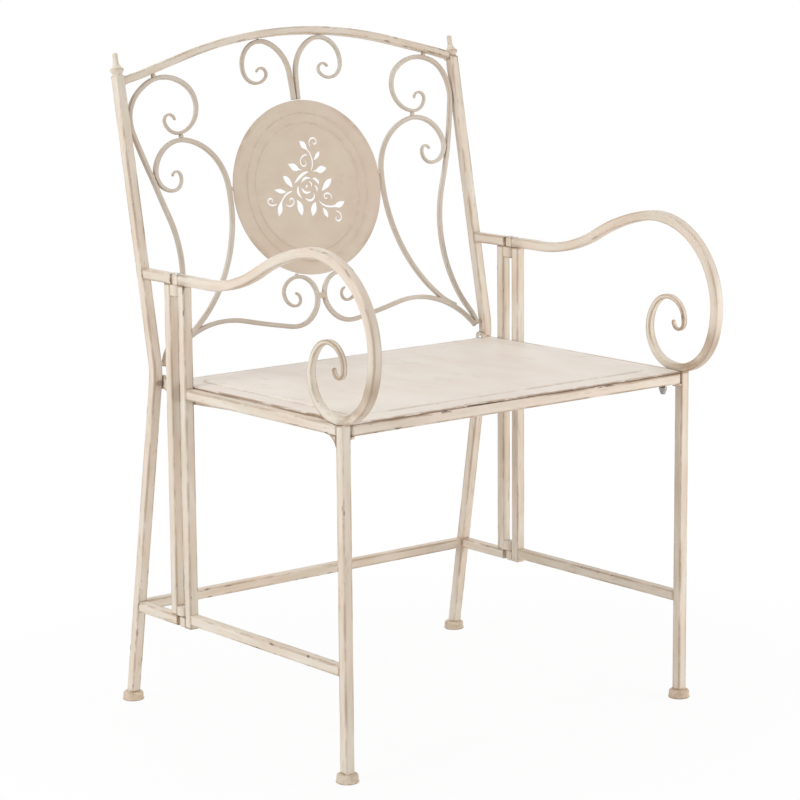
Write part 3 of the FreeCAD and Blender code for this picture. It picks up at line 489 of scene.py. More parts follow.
@dataclass(frozen=True)
class PaintFinish:
    """Antique cream paint on steel: brushed on, glazed brown and rubbed at the edges, with painted
    shade in its corners and seams.
    """

    name: str
    cream: Colour = srgb(229, 220, 206)
    blush: Colour = srgb(229, 213, 197)
    glaze: Colour = srgb(207, 189, 165)
    # The rubbed brown also paints shade in corners and grooves; the bare colour also paints shade
    # in seams.
    rubbed_brown_and_shade: Colour = srgb(156, 126, 96)
    bare_and_seam_shade: Colour = srgb(78, 55, 38)
    roughness: float = 0.46
    fineness: float = 130.0
    glaze_share: float = 0.42
    blotch_share: float = 0.30
    blotch_cells: float = 7.0
    hair_share: float = 0.45
    edge_width: float = 3.0 * MM
    edge_share: float = 0.80
    line_share: float = 0.85
    bevel: float = 0.0
    recess_reach: float = 6.0 * MM
    recess_share: float = 0.6
    relief: float = 0.08
    relief_height: float = 0.9 * MM
    specular: float = 0.42
    stains_and_shade: bool = False
    # The share of brown corner glaze, which is partly painted shade.
    corner_glaze_shade_share: float = 0.9
    mask_share: float = 0.8
    rub_share: float = 0.55
    # The share of the painted shade in narrow seams.
    seam_shade_share: float = 0.85
    stroke_roughness: float = 0.10
    rub_roughness: float = 0.18
    patch_stretch: Triple = (3.0, 1.0, 1.0)

    def colour(self, board: Board, effects: Effects, place: Socket, patches: Socket,
               strokes: bpy.types.Node, edge: bpy.types.Node) -> Socket:
        """Lay glaze, rubbed brown, bare steel, and painted shade in corners and seams over the
        cream.

        Args:
            board: The material's board.
            effects: The shared effects.
            place: The object's own coordinates.
            patches: The coordinates for wear, drawn out along the piece.
            strokes: The brushing's node.
            edge: The edge wear's node.

        Returns:
            The colour.
        """
        blotch = board.effect(effects[Effect.BLOTCHES], Vector=place, Cells=self.blotch_cells)
        recess = board.effect(effects[Effect.RECESS], Vector=place, Reach=self.recess_reach,
                              Amount=self.recess_share)
        # The recess glaze is partly painted shade in shut-in corners; the seam line is painted
        # shade.
        layers = [(strokes.outputs["Strokes"], self.glaze_share, self.glaze),
                  (blotch.outputs["Blotch"], self.blotch_share, self.glaze),
                  (strokes.outputs["Hairs"], self.hair_share, self.rubbed_brown_and_shade),
                  (recess.outputs["Stain"], self.corner_glaze_shade_share, self.rubbed_brown_and_shade),
                  (edge.outputs["Rub"], self.rub_share, self.rubbed_brown_and_shade),
                  (edge.outputs["Line"], self.line_share, self.rubbed_brown_and_shade),
                  (recess.outputs["Seam"], self.seam_shade_share, self.bare_and_seam_shade),
                  (edge.outputs["Chip"], 1.0, self.bare_and_seam_shade)]
        if self.stains_and_shade:
            # The held brown is a stain on the arms, and partly painted shade in grooves and under
            # the seat's lip.
            held = board.add("ShaderNodeAttribute", attribute_name=STAIN_AND_SHADE).outputs["Fac"]
            broken = board.ramp(board.noise(patches, scale=55.0, detail=4.0, roughness=0.65),
                                low=0.34, high=0.60)
            layers.append((board.times(held, broken), self.mask_share, self.rubbed_brown_and_shade))
        colour = board.blend(blotch.outputs["Hue"], self.cream, self.blush)
        for mask, share, over in layers:
            colour = board.blend(board.times(mask, share), colour, over)
        return colour

    def material(self, effects: Effects, run: Run, follows_bar: bool = False
                 ) -> bpy.types.Material:
        """Make this finish as a material, brushed along a given run.

        Args:
            effects: The shared effects.
            run: The way the strokes run.
            follows_bar: True where the mesh says how far along its bar each point is.

        Returns:
            The material.
        """
        label = f"{self.name}_bar" if follows_bar else f"{self.name}_{run.name.lower()}"
        found = bpy.data.materials.get(label)
        if found:
            return found
        material, board, shader = blank_material(label)
        place = board.add("ShaderNodeTexCoord").outputs["Object"]
        if follows_bar:
            way = board.add("ShaderNodeAttribute", attribute_name=BAR_WAY).outputs["Vector"]
            patches = board.stretch(way, self.patch_stretch)
        else:
            way = board.stretch(place, run.value)
            patches = board.stretch(place, tuple(math.sqrt(v) for v in run.value))
        strokes = board.effect(effects[Effect.BRUSHING], Vector=way, Fineness=self.fineness)
        edge = board.effect(effects[Effect.EDGE_WEAR], Vector=patches, Width=self.edge_width,
                            Amount=self.edge_share)
        board.feed(shader.inputs["Base Color"],
                   self.colour(board, effects, place, patches, strokes, edge))
        rough = board.times(strokes.outputs["Strokes"], self.stroke_roughness)
        rough = board.maths("ADD", rough, board.times(edge.outputs["Rub"], self.rub_roughness))
        board.feed(shader.inputs["Roughness"], board.maths("ADD", rough, self.roughness, True))
        shader.inputs["Specular IOR Level"].default_value = self.specular
        skin = board.effect(effects[Effect.SKIN], Vector=place,
                            Bristles=strokes.outputs["Bristles"], Chip=edge.outputs["Chip"])
        rounded = board.soft_normal(self.bevel) if self.bevel else None
        board.feed(shader.inputs["Normal"],
                   board.bump(self.relief, self.relief_height, skin.outputs["Height"], rounded))
        return material


@dataclass(frozen=True)
class SteelFinish:
    """Plain grey steel, turned and dulled."""

    name: str
    light: Colour = srgb(150, 148, 146)
    dark: Colour = srgb(96, 90, 84)
    roughness: float = 0.36
    metallic: float = 0.85
    fineness: float = 900.0
    blotch_cells: float = 120.0
    blotch_share: float = 0.4
    blotch_roughness: float = 0.2
    relief: float = 0.12
    relief_height: float = 0.2 * MM
    bevel: float = 0.5 * MM
    turning: Triple = (0.2, 0.2, 1.0)

    def material(self, effects: Effects) -> bpy.types.Material:
        """Make this finish as a material.

        Args:
            effects: The shared effects.

        Returns:
            The material.
        """
        found = bpy.data.materials.get(self.name)
        if found:
            return found
        material, board, shader = blank_material(self.name)
        place = board.add("ShaderNodeTexCoord").outputs["Object"]
        turned = board.stretch(place, self.turning)
        strokes = board.effect(effects[Effect.BRUSHING], Vector=turned, Fineness=self.fineness)
        blotch = board.effect(effects[Effect.BLOTCHES], Vector=place, Cells=self.blotch_cells)
        blotched = blotch.outputs["Blotch"]
        colour = board.blend(strokes.outputs["Strokes"], self.light, self.dark)
        colour = board.blend(board.times(blotched, self.blotch_share), colour, self.dark)
        board.feed(shader.inputs["Base Color"], colour)
        shader.inputs["Metallic"].default_value = self.metallic
        rough = board.maths("ADD", board.times(blotched, self.blotch_roughness), self.roughness,
                            True)
        board.feed(shader.inputs["Roughness"], rough)
        board.feed(shader.inputs["Normal"],
                   board.bump(self.relief, self.relief_height, strokes.outputs["Bristles"],
                              board.soft_normal(self.bevel)))
        return material


TUBE_PAINT = PaintFinish("tube_paint")
ARM_PAINT = PaintFinish("arm_paint", edge_share=0.85, roughness=0.40, stains_and_shade=True)
SCROLL_PAINT = PaintFinish("scroll_paint", cream=srgb(216, 207, 194), blush=srgb(214, 200, 186),
                           glaze=srgb(188, 173, 153), edge_width=1.6 * MM, edge_share=0.5,
                           hair_share=0.3, relief=0.04)
# A tan copy of the cream: painted shade for the medallion, whose face looks to the front.
DISC_SHADED_PAINT = PaintFinish("disc_shaded_paint", cream=srgb(219, 204, 186), blush=srgb(218, 199, 183),
                         glaze=srgb(209, 191, 169), fineness=60.0, glaze_share=0.30,
                         hair_share=0.12, edge_width=0.6 * MM, edge_share=0.0, recess_share=0.25,
                         relief=0.05, stains_and_shade=True)
# A lighter copy of the cream: painted light for the seat's face, which looks up to the lamps.
SEAT_LIT_PAINT = PaintFinish("seat_paint", cream=srgb(236, 228, 217), blush=srgb(236, 225, 215),
                         glaze=srgb(225, 211, 197), fineness=48.0, glaze_share=0.32,
                         blotch_share=0.35, blotch_cells=5.0, hair_share=0.18,
                         edge_width=2.2 * MM, recess_share=0.4, roughness=0.38, relief=0.06,
                         stains_and_shade=True)
RAIL_PAINT = PaintFinish("rail_paint", cream=srgb(231, 219, 204), blush=srgb(231, 214, 199),
                         glaze=srgb(210, 193, 172), recess_reach=3.0 * MM, recess_share=0.4,
                         glaze_share=0.45)
WELD_PAINT = PaintFinish("weld_paint", cream=srgb(222, 208, 189), blush=srgb(220, 201, 182),
                         glaze=srgb(190, 167, 140), fineness=300.0, glaze_share=0.5,
                         edge_share=0.4, recess_share=0.9, edge_width=0.5 * MM,
                         recess_reach=2.5 * MM, relief=0.16)
HINGE_PAINT = PaintFinish("hinge_paint", cream=srgb(228, 216, 200), blush=srgb(227, 209, 191),
                          glaze=srgb(200, 181, 157), glaze_share=0.45, edge_width=1.2 * MM,
                          recess_share=1.0, recess_reach=4.0 * MM)
GLIDE_PAINT = PaintFinish("glide_paint", cream=srgb(220, 206, 188), blush=srgb(216, 196, 174),
                          glaze=srgb(178, 154, 127), glaze_share=0.5, edge_width=1.5 * MM,
                          edge_share=1.0, recess_share=0.9, roughness=0.55)
BARE_STEEL = SteelFinish("bare_steel", light=srgb(84, 75, 66), dark=srgb(60, 52, 44),
                         roughness=0.62)
KNOB_STEEL = SteelFinish("knob_steel", light=srgb(190, 188, 186), dark=srgb(130, 126, 122))


# Meshes

def put(name: str, data: bpy.types.ID) -> bpy.types.Object:
    """Put a new object into the scene.

    Args:
        name: Its name.
        data: Its mesh, lamp or camera.

    Returns:
        The object.
    """
    thing = bpy.data.objects.new(name, data)
    bpy.context.scene.collection.objects.link(thing)
    return thing


@dataclass
class MeshDraft:
    """A mesh that is being built: its points and faces, and what the paint is told of a point."""

    points: list[Vector] = field(default_factory=list)
    faces: list[tuple[int, ...]] = field(default_factory=list)
    way: list[Vector] = field(default_factory=list)
    stain: list[float] = field(default_factory=list)

    def ring(self, points: list[Vector], way: list[Vector] | None = None) -> list[int]:
        """Add a ring of points.

        Args:
            points: The points.
            way: Where each lies along its bar.

        Returns:
            Their numbers.
        """
        first = len(self.points)
        self.points += points
        if way:
            self.way += way
        return list(range(first, len(self.points)))

    def bridge(self, one: list[int], other: list[int], closed: bool = True) -> None:
        """Join two rings with quads.

        Args:
            one: The first ring.
            other: The second ring.
            closed: True where the rings close on themselves.
        """
        count = len(one)
        for i in range(count if closed else count - 1):
            j = (i + 1) % count
            self.faces.append((one[i], one[j], other[j], other[i]))

    def cap(self, ring: list[int], flip: bool = False) -> None:
        """Close a ring with one face."""
        self.faces.append(tuple(reversed(ring)) if flip else tuple(ring))

    def sleeve(self, rings: list[list[int]], closed: bool = True) -> None:
        """Join a row of rings, each to the next."""
        for one, other in zip(rings, rings[1:]):
            self.bridge(one, other, closed)

    def rod(self, rings: list[list[int]]) -> None:
        """Join a row of rings and close both its ends.

        Args:
            rings: The rings.
        """
        self.sleeve(rings)
        self.cap(rings[0], flip=True)
        self.cap(rings[-1])

    def circle(self, middle: Vector, radius: float, count: int) -> list[int]:
        """Add the points of a level circle.

        Args:
            middle: Its middle.
            radius: Its radius, in metres.
            count: How many points it has.

        Returns:
            Their numbers.
        """
        return self.ring([
            middle + Vector((math.cos(angle), math.sin(angle), 0.0)) * radius
            for angle in (math.tau * i / count for i in range(count))])

    def finish(self, name: str, mirrored: bool = False) -> bpy.types.Object:
        """Make the object.

        Args:
            name: Its name.
            mirrored: True where its points were mirrored, so that its faces turn over.

        Returns:
            The object, linked to the scene.
        """
        mesh = bpy.data.meshes.new(name)
        faces = [tuple(reversed(f)) for f in self.faces] if mirrored else self.faces
        mesh.from_pydata([tuple(p) for p in self.points], [], faces)
        if self.way:
            layer = mesh.attributes.new(BAR_WAY, "FLOAT_VECTOR", "POINT")
            layer.data.foreach_set("vector", [c for v in self.way for c in v])
        if self.stain:
            layer = mesh.attributes.new(STAIN_AND_SHADE, "FLOAT", "POINT")
            layer.data.foreach_set("value", self.stain)
        mesh.polygons.foreach_set("use_smooth", [True] * len(mesh.polygons))
        mesh.update()
        return put(name, mesh)


@dataclass(frozen=True)
class Station:
    """One place along a route: its point in the route's plane, heading and way from the start."""

    point: Vector
    heading: float
    way: float


@dataclass(frozen=True)
class Route:
    """A route of tangent bends in a plane, in millimetres, as the bender makes it."""

    start: Pair
    heading: float
    bends: tuple[tuple[float | None, float], ...]

    def stations(self, step: float = 1.6, turn_step: float = 5.0) -> list[Station]:
        """Walk along the route.

        Args:
            step: The longest step on a straight; on a bend it is three times as long.
            turn_step: The widest turn between two stations, in degrees.

        Returns:
            The stations from start to end.
        """
        point = Vector((*self.start, 0.0))
        heading = self.heading
        way = 0.0
        found = [Station(point.copy(), heading, way)]
        for radius, turn in self.bends:
            length = radius * math.radians(abs(turn)) if radius else turn
            pieces = max(2, math.ceil(length / (3 * step if radius else step)))
            if radius:
                pieces = max(pieces, math.ceil(abs(turn) / turn_step))
            part_turn = turn / pieces if radius else 0.0
            chord = length / pieces
            if radius:
                chord = 2.0 * radius * math.sin(math.radians(abs(part_turn)) / 2.0)
            for _ in range(pieces):
                angle = math.radians(heading + part_turn / 2.0)
                point = point + Vector((math.cos(angle), math.sin(angle), 0.0)) * chord
                heading += part_turn
                way += length / pieces
                found.append(Station(point.copy(), heading, way))
        return found

    @property
    def length(self) -> float:
        """Give the whole length of the route."""
        return self.last_length(len(self.bends), first=True)

    def last_length(self, count: int, first: bool) -> float:
        """Give the length of a number of bends together: the first ones, or else the last."""
        chosen = self.bends[:count] if first else self.bends[-count:]
        return sum(r * math.radians(abs(t)) if r else t for r, t in chosen)


@dataclass(frozen=True)
class Section:
    """A bar's section: its height in the route's plane, its width across it and its rounding."""

    height: float
    width: float
    rounding: float
    most_rounding: float = 0.49

    def outline(self, high: float, wide: float, per_corner: int = 4) -> list[Pair]:
        """Draw the section at given sizes.

        Args:
            high: The height there.
            wide: The width there.
            per_corner: How many steps round a corner takes.

        Returns:
            The outline's points, across then high.
        """
        most = self.most_rounding * min(high, wide)
        radius = min(self.rounding * high / self.height, most)
        points = []
        for number, (sx, sy) in enumerate(((1, 1), (-1, 1), (-1, -1), (1, -1))):
            for step in range(per_corner + 1):
                angle = math.radians(90.0 * number + 90.0 * step / per_corner)
                points.append((sx * (wide / 2 - radius) + radius * math.cos(angle),
                               sy * (high / 2 - radius) + radius * math.sin(angle)))
        return points


@dataclass(frozen=True)
class Plane:
    """A plane that a route lies in: a place, and the two directions of its numbers."""

    origin: Vector
    right: Vector
    up: Vector

    @property
    def normal(self) -> Vector:
        """Give the direction across the plane."""
        return self.right.cross(self.up)

    def at(self, spot: Vector, sign: float = 1.0) -> Vector:
        """Turn a point of the plane, in millimetres, into the chair's frame, in metres."""
        place = self.origin + (self.right * spot.x + self.up * spot.y) * MM
        return Vector((place.x * sign, place.y, place.z))


@dataclass(frozen=True)
class PanelPlane(Plane):
    """The scrollwork's plane, in which every bar was welded on a little askew.

    Towards the right the bars climb, and towards the posts they spread; both grow from the still
    height to the full one, and the spread fades at the posts. The arch sinks a little.
    """

    climb: float = 4.8
    spread: float = 4.2
    half: float = 272.0
    still: float = 60.0
    full: float = 200.0
    sink: float = 1.5
    sink_from: float = 340.0
    sink_over: float = 50.0
    fade_from: float = 246.0
    fade_over: float = 20.0

    def at(self, spot: Vector, sign: float = 1.0) -> Vector:
        """Turn a point of the drawing into the place where it was welded.

        Args:
            spot: The point, as on the chair's right, in millimetres.
            sign: -1.0 for its mirror image on the left.

        Returns:
            The place in the chair's frame, in metres.
        """
        across = spot.x * sign
        share = across / self.half
        high = clamp((spot.y - self.still) / (self.full - self.still))
        near_post = clamp((abs(across) - self.fade_from) / self.fade_over)
        spread = self.spread * share * share * high * (1.0 - near_post)
        sunk = self.sink * clamp((spot.y - self.sink_from) / self.sink_over)
        moved = Vector((across + spread, spot.y + self.climb * share * high - sunk, 0.0))
        return super().at(moved)


def wander(way: float, seed: float, pace: float) -> float:
    """Give a slow, even wander from -1 to 1 so far along a bar, its own for each seed."""
    return noise.noise(Vector((way * pace, seed * 7.31, seed * 1.7)))


@dataclass(frozen=True)
class ForgedBar:
    """A bar bent along a route, drawn out to a tip and a little uneven, as forged by hand."""

    route: Route
    section: Section
    tip_height: float
    tip_width: float
    drawn_bends: int
    tip_first: bool = False
    uneven: float = 0.012
    keep: Triple | None = None
    stain: Callable[[float], float] | None = None
    width_draw: float = 0.8
    nose: float = 0.8
    nose_height: float = 0.25
    nose_width: float = 0.35
    height_pace: float = 0.045
    width_pace: float = 0.06
    most_twist: float = math.radians(1.4)
    twist_pace: float = 0.02
    brush_squeeze: float = 0.10
    brush_shift: float = 40.0

    def sizes(self, way: float) -> Pair:
        """Give the section's height and width at a place.

        Args:
            way: How far from the start.

        Returns:
            Height and width, in millimetres.
        """
        from_tip = max(0.0, way if self.tip_first else self.route.length - way)
        drawn = self.route.last_length(self.drawn_bends, self.tip_first)
        share = min(1.0, from_tip / drawn)
        high = self.tip_height + (self.section.height - self.tip_height) * share
        wide = self.tip_width + (self.section.width - self.tip_width) * share ** self.width_draw
        nose = self.tip_height * self.nose
        if from_tip < nose:
            share = math.sqrt(max(0.0, 1.0 - (1.0 - from_tip / nose) ** 2))
            high *= self.nose_height + (1.0 - self.nose_height) * share
            wide *= self.nose_width + (1.0 - self.nose_width) * share
        return high, wide

    def kept(self, station: Station) -> bool:
        """Tell whether a station lies within the bar's limits: widest reach, lowest and highest.

        Args:
            station: The station.

        Returns:
            True where it does.
        """
        if self.keep is None:
            return True
        reach, low, high = self.keep
        return abs(station.point.x) <= reach and low <= station.point.y <= high

    def lay(self, draft: MeshDraft, station: Station, plane: Plane, side: Side, seed: float
            ) -> list[int]:
        """Add the bar's section at one station.

        Args:
            draft: The mesh.
            station: The station.
            plane: The plane of the right-hand bar.
            side: Which side the bar is on.
            seed: What makes its unevenness its own.

        Returns:
            The points' numbers.
        """
        way = station.way
        angle = math.radians(station.heading + 90.0)
        inward = plane.right * math.cos(angle) + plane.up * math.sin(angle)
        high, wide = self.sizes(way)
        high *= 1.0 + self.uneven * wander(way, seed, self.height_pace)
        wide *= 1.0 + self.uneven * wander(way, seed + 3.0, self.width_pace)
        twist = self.most_twist * wander(way, seed + 5.0, self.twist_pace)
        centre = plane.at(station.point, side.sign)
        points = []
        ways = []
        for a, b in self.section.outline(high, wide):
            turned_a = a * math.cos(twist) - b * math.sin(twist)
            turned_b = a * math.sin(twist) + b * math.cos(twist)
            off = (plane.normal * turned_a + inward * turned_b) * MM
            points.append(centre + Vector((off.x * side.sign, off.y, off.z)))
            ways.append(Vector((self.brush_squeeze * way, a, b + self.brush_shift * seed)) * MM)
        if self.stain:
            draft.stain += [self.stain(way)] * len(points)
        return draft.ring(points, ways)

    def build(self, name: str, plane: Plane, side: Side, seed: float) -> bpy.types.Object:
        """Build the bar as a mesh.

        Args:
            name: The object's name.
            plane: The plane of the right-hand bar.
            side: Which side the bar is on.
            seed: What makes its unevenness its own.

        Returns:
            The object.
        """
        draft = MeshDraft()
        draft.rod([self.lay(draft, station, plane, side, seed)
                   for station in self.route.stations() if self.kept(station)])
        return draft.finish(name, mirrored=side is Side.RIGHT)


@dataclass(frozen=True)
class WeldSeam:
    """Hand-laid weld: a rippled bead along a closed path, or a lumpy round blob."""

    radius: float = 0.75
    ripple: float = 3.2
    ripple_share: float = 0.14
    uneven: float = 0.28
    pace: float = 0.11
    step: float = 0.8
    sides: int = 8
    blob_levels: int = 7
    blob_sides: int = 14
    lump: float = 0.22
    lump_pace: float = 1.6

    def lay(self, draft: MeshDraft, path: list[Vector], seed: float) -> None:
        """Add one bead, all round a path, to a mesh.

        Args:
            draft: The mesh.
            path: The bead's corners, in metres.
            seed: What makes it its own.
        """
        spots: list[Vector] = []
        for one, other in zip(path, path[1:] + path[:1]):
            pieces = max(2, int((other - one).length / (self.step * MM)))
            spots += [one.lerp(other, i / pieces) for i in range(pieces)]
        rings = []
        way = 0.0
        for i, spot in enumerate(spots):
            before, after = spots[i - 1], spots[(i + 1) % len(spots)]
            ahead = (after - before).normalized()
            across = ahead.orthogonal().normalized()
            other = ahead.cross(across)
            way += (spot - before).length / MM if i else 0.0
            crest = abs(math.sin(math.pi * way / self.ripple))
            swell = 1.0 - self.ripple_share + self.ripple_share * crest
            swell *= 1.0 + self.uneven * wander(way, seed, self.pace)
            radius = self.radius * MM * swell
            ring = []
            for number in range(self.sides):
                angle = math.tau * number / self.sides
                ring.append(spot + (across * math.cos(angle) + other * math.sin(angle)) * radius)
            rings.append(draft.ring(ring))
        draft.sleeve(rings)
        draft.bridge(rings[-1], self.aligned(draft, rings[-1], rings[0]))

    @staticmethod
    def aligned(draft: MeshDraft, last: list[int], first: list[int]) -> list[int]:
        """Turn the first ring so that it meets the last without a twist.

        Args:
            draft: The mesh.
            last: The last ring.
            first: The first ring.

        Returns:
            The first ring, turned.
        """
        count = len(first)
        best = min(range(count), key=lambda k: sum(
            (draft.points[last[i]] - draft.points[first[(i + k) % count]]).length
            for i in range(count)))
        return [first[(i + best) % count] for i in range(count)]

    def blob(self, draft: MeshDraft, centre: Vector, axis: Vector, radius: float, height: float,
             seed: float) -> None:
        """Add a lumpy round blob of weld.

        Args:
            draft: The mesh.
            centre: Its centre, in metres.
            axis: Its short direction.
            radius: Its radius, in millimetres.
            height: Its height along the axis, in millimetres.
            seed: What makes it its own.
        """
        across = axis.orthogonal().normalized()
        other = axis.cross(across)
        rings = []
        for level in range(1, self.blob_levels):
            lift = math.pi * level / self.blob_levels
            ring = []
            for step in range(self.blob_sides):
                angle = math.tau * step / self.blob_sides
                way = (across * math.cos(angle) + other * math.sin(angle)) * math.sin(lift)
                way += axis * math.cos(lift)
                offset = Vector((seed * 9.1, seed, 0.0))
                lump = 1.0 + self.lump * noise.noise(way * self.lump_pace + offset)
                flat = way - axis * way.dot(axis)
                point = centre + (flat * radius + axis * way.dot(axis) * height / 2) * lump * MM
                ring.append(point)
            rings.append(draft.ring(ring))
        draft.rod(rings)


def node_box(node: str) -> tuple[Vector, Vector, Vector]:
    """Give a node's lowest corner, highest corner and middle."""
    low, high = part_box(node)
    return low, high, (low + high) / 2


def dress(thing: bpy.types.Object, material: bpy.types.Material) -> None:
    """Give an object one material.

    Args:
        thing: The object.
        material: The material.
    """
    thing.data.materials.clear()
    thing.data.materials.append(material)


def dress_nodes(effects: Effects, side: Side, finish: PaintFinish, runs: dict[str, Run]) -> None:
    """Paint nodes of one side, each brushed along its own run."""
    for stem, run in runs.items():
        dress(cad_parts[f"{stem}_{side.value}"], finish.material(effects, run))


# The chair's parts

@dataclass
class Glide:
    """A cap of a leg's end: a low drum with a rolled foot and a soft shoulder."""

    effects: Effects
    profile: tuple[Pair, ...] = (
        (0.86, 0.0), (0.955, 0.01), (0.99, 0.05), (1.0, 0.11), (0.99, 0.18), (0.955, 0.23),
        (0.94, 0.28), (0.945, 0.60), (0.93, 0.78), (0.89, 0.89), (0.81, 0.965), (0.68, 0.995),
        (0.50, 1.0))
    steps: int = 48

    def build(self, node: str, body: str) -> bpy.types.Object:
        """Turn the cap that stands for a plain glide.

        Args:
            node: The glide's node.
            body: The body that it rides on.

        Returns:
            The piece.
        """
        low, high, middle = node_box(node)
        radius = (high.x - low.x) / 2
        deep = high.z - low.z
        draft = MeshDraft()
        draft.rod([draft.circle(Vector((middle.x, middle.y, low.z + deep * lift)),
                                radius * reach, self.steps) for reach, lift in self.profile])
        piece = draft.finish(node.replace("glide", "leg_cap"))
        dress(piece, GLIDE_PAINT.material(self.effects, Run.ROUND))
        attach(piece, body)
        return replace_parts(piece, node)


@dataclass
class SideFrames:
    """The two side frames: tubes that stay as made, and armrests forged anew."""

    effects: Effects
    arm_start: Pair = (120.7, 576.0)
    arm_heading: float = 178.1
    arm_bends: tuple[tuple[float | None, float], ...] = (
        (920, 3.3), (232.6, -29.8), (298.5, 18.5), (112, 121.6), (65.4, 86.5), (47.9, 117.7),
        (29, 142), (9.6, 185))
    arm_section: Section = Section(12.9, 12.9, 2.2)
    arm_stains: tuple[Triple, ...] = (
        (12.0, 14.0, 0.7), (560.0, 34.0, 1.0), (505.0, 16.0, 0.6))
    tip: float = 3.2
    tip_across: float = 5.0
    drawn_bends: int = 4
    uneven: float = 0.014

    def stain(self, way: float) -> float:
        """Give how much brown an armrest holds, from 0 to 1, so far along it."""
        return min(1.0, sum(share * bell(way - at, wide) for at, wide, share in self.arm_stains))

    def armrest(self, side: Side) -> bpy.types.Object:
        """Forge one armrest, which stands for the plain one.

        Args:
            side: Which side.

        Returns:
            The piece.
        """
        _, _, middle = node_box(f"armrest_{Side.RIGHT.value}")
        plane = Plane(Vector((middle.x, 0.0, 0.0)), Vector((0, 1, 0)), Vector((0, 0, 1)))
        bar = ForgedBar(Route(self.arm_start, self.arm_heading, self.arm_bends), self.arm_section,
                        self.tip, self.tip_across, self.drawn_bends, uneven=self.uneven,
                        stain=self.stain)
        piece = bar.build(f"armrest_forged_{side.value}", plane, side, 1.0 + side.sign)
        dress(piece, ARM_PAINT.material(self.effects, Run.ROUND, follows_bar=True))
        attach(piece, side.body)
        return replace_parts(piece, f"armrest_{side.value}")

    def build(self) -> None:
        """Dress both side frames."""
        tubes = {"side_upright": Run.UP, "front_leg": Run.UP, "seat_side_rail": Run.DEEP,
                 "side_stretcher": Run.DEEP, "corner_gusset": Run.UP}
        hinges = {"upper_side_knuckle": Run.UP, "lower_side_knuckle": Run.UP,
                  "seat_support_tab": Run.FLAT}
        for side in Side:
            dress_nodes(self.effects, side, TUBE_PAINT, tubes)
            dress_nodes(self.effects, side, HINGE_PAINT, hinges)
            glide = Glide(self.effects).build(f"front_glide_{side.value}", side.body)
            log.info("made %s", glide.name)
            log.info("made %s", self.armrest(side).name)


@dataclass
class BackFrame:
    """The posts, rails, stiles and hinges of the back."""

    effects: Effects

    def build(self) -> None:
        """Dress the back frame's own nodes."""
        tubes = {"back_post": Run.UP, "stile": Run.UP, "upper_stub": Run.DEEP,
                 "lower_stub": Run.DEEP, "finial": Run.ROUND}
        hinges = {"upper_stile_knuckle": Run.UP, "lower_stile_knuckle": Run.UP}
        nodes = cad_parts
        for side in Side:
            dress_nodes(self.effects, side, TUBE_PAINT, tubes)
            dress_nodes(self.effects, side, HINGE_PAINT, hinges)
            glide = Glide(self.effects).build(f"rear_glide_{side.value}", "back_frame")
            log.info("made %s", glide.name)
            for stem in ("hinge_pins", "seat_pivot_bolt"):
                dress(nodes[f"{stem}_{side.value}"], BARE_STEEL.material(self.effects))
        dress(nodes["rear_stretcher"], TUBE_PAINT.material(self.effects, Run.ACROSS))
        log.info("dressed the back frame")


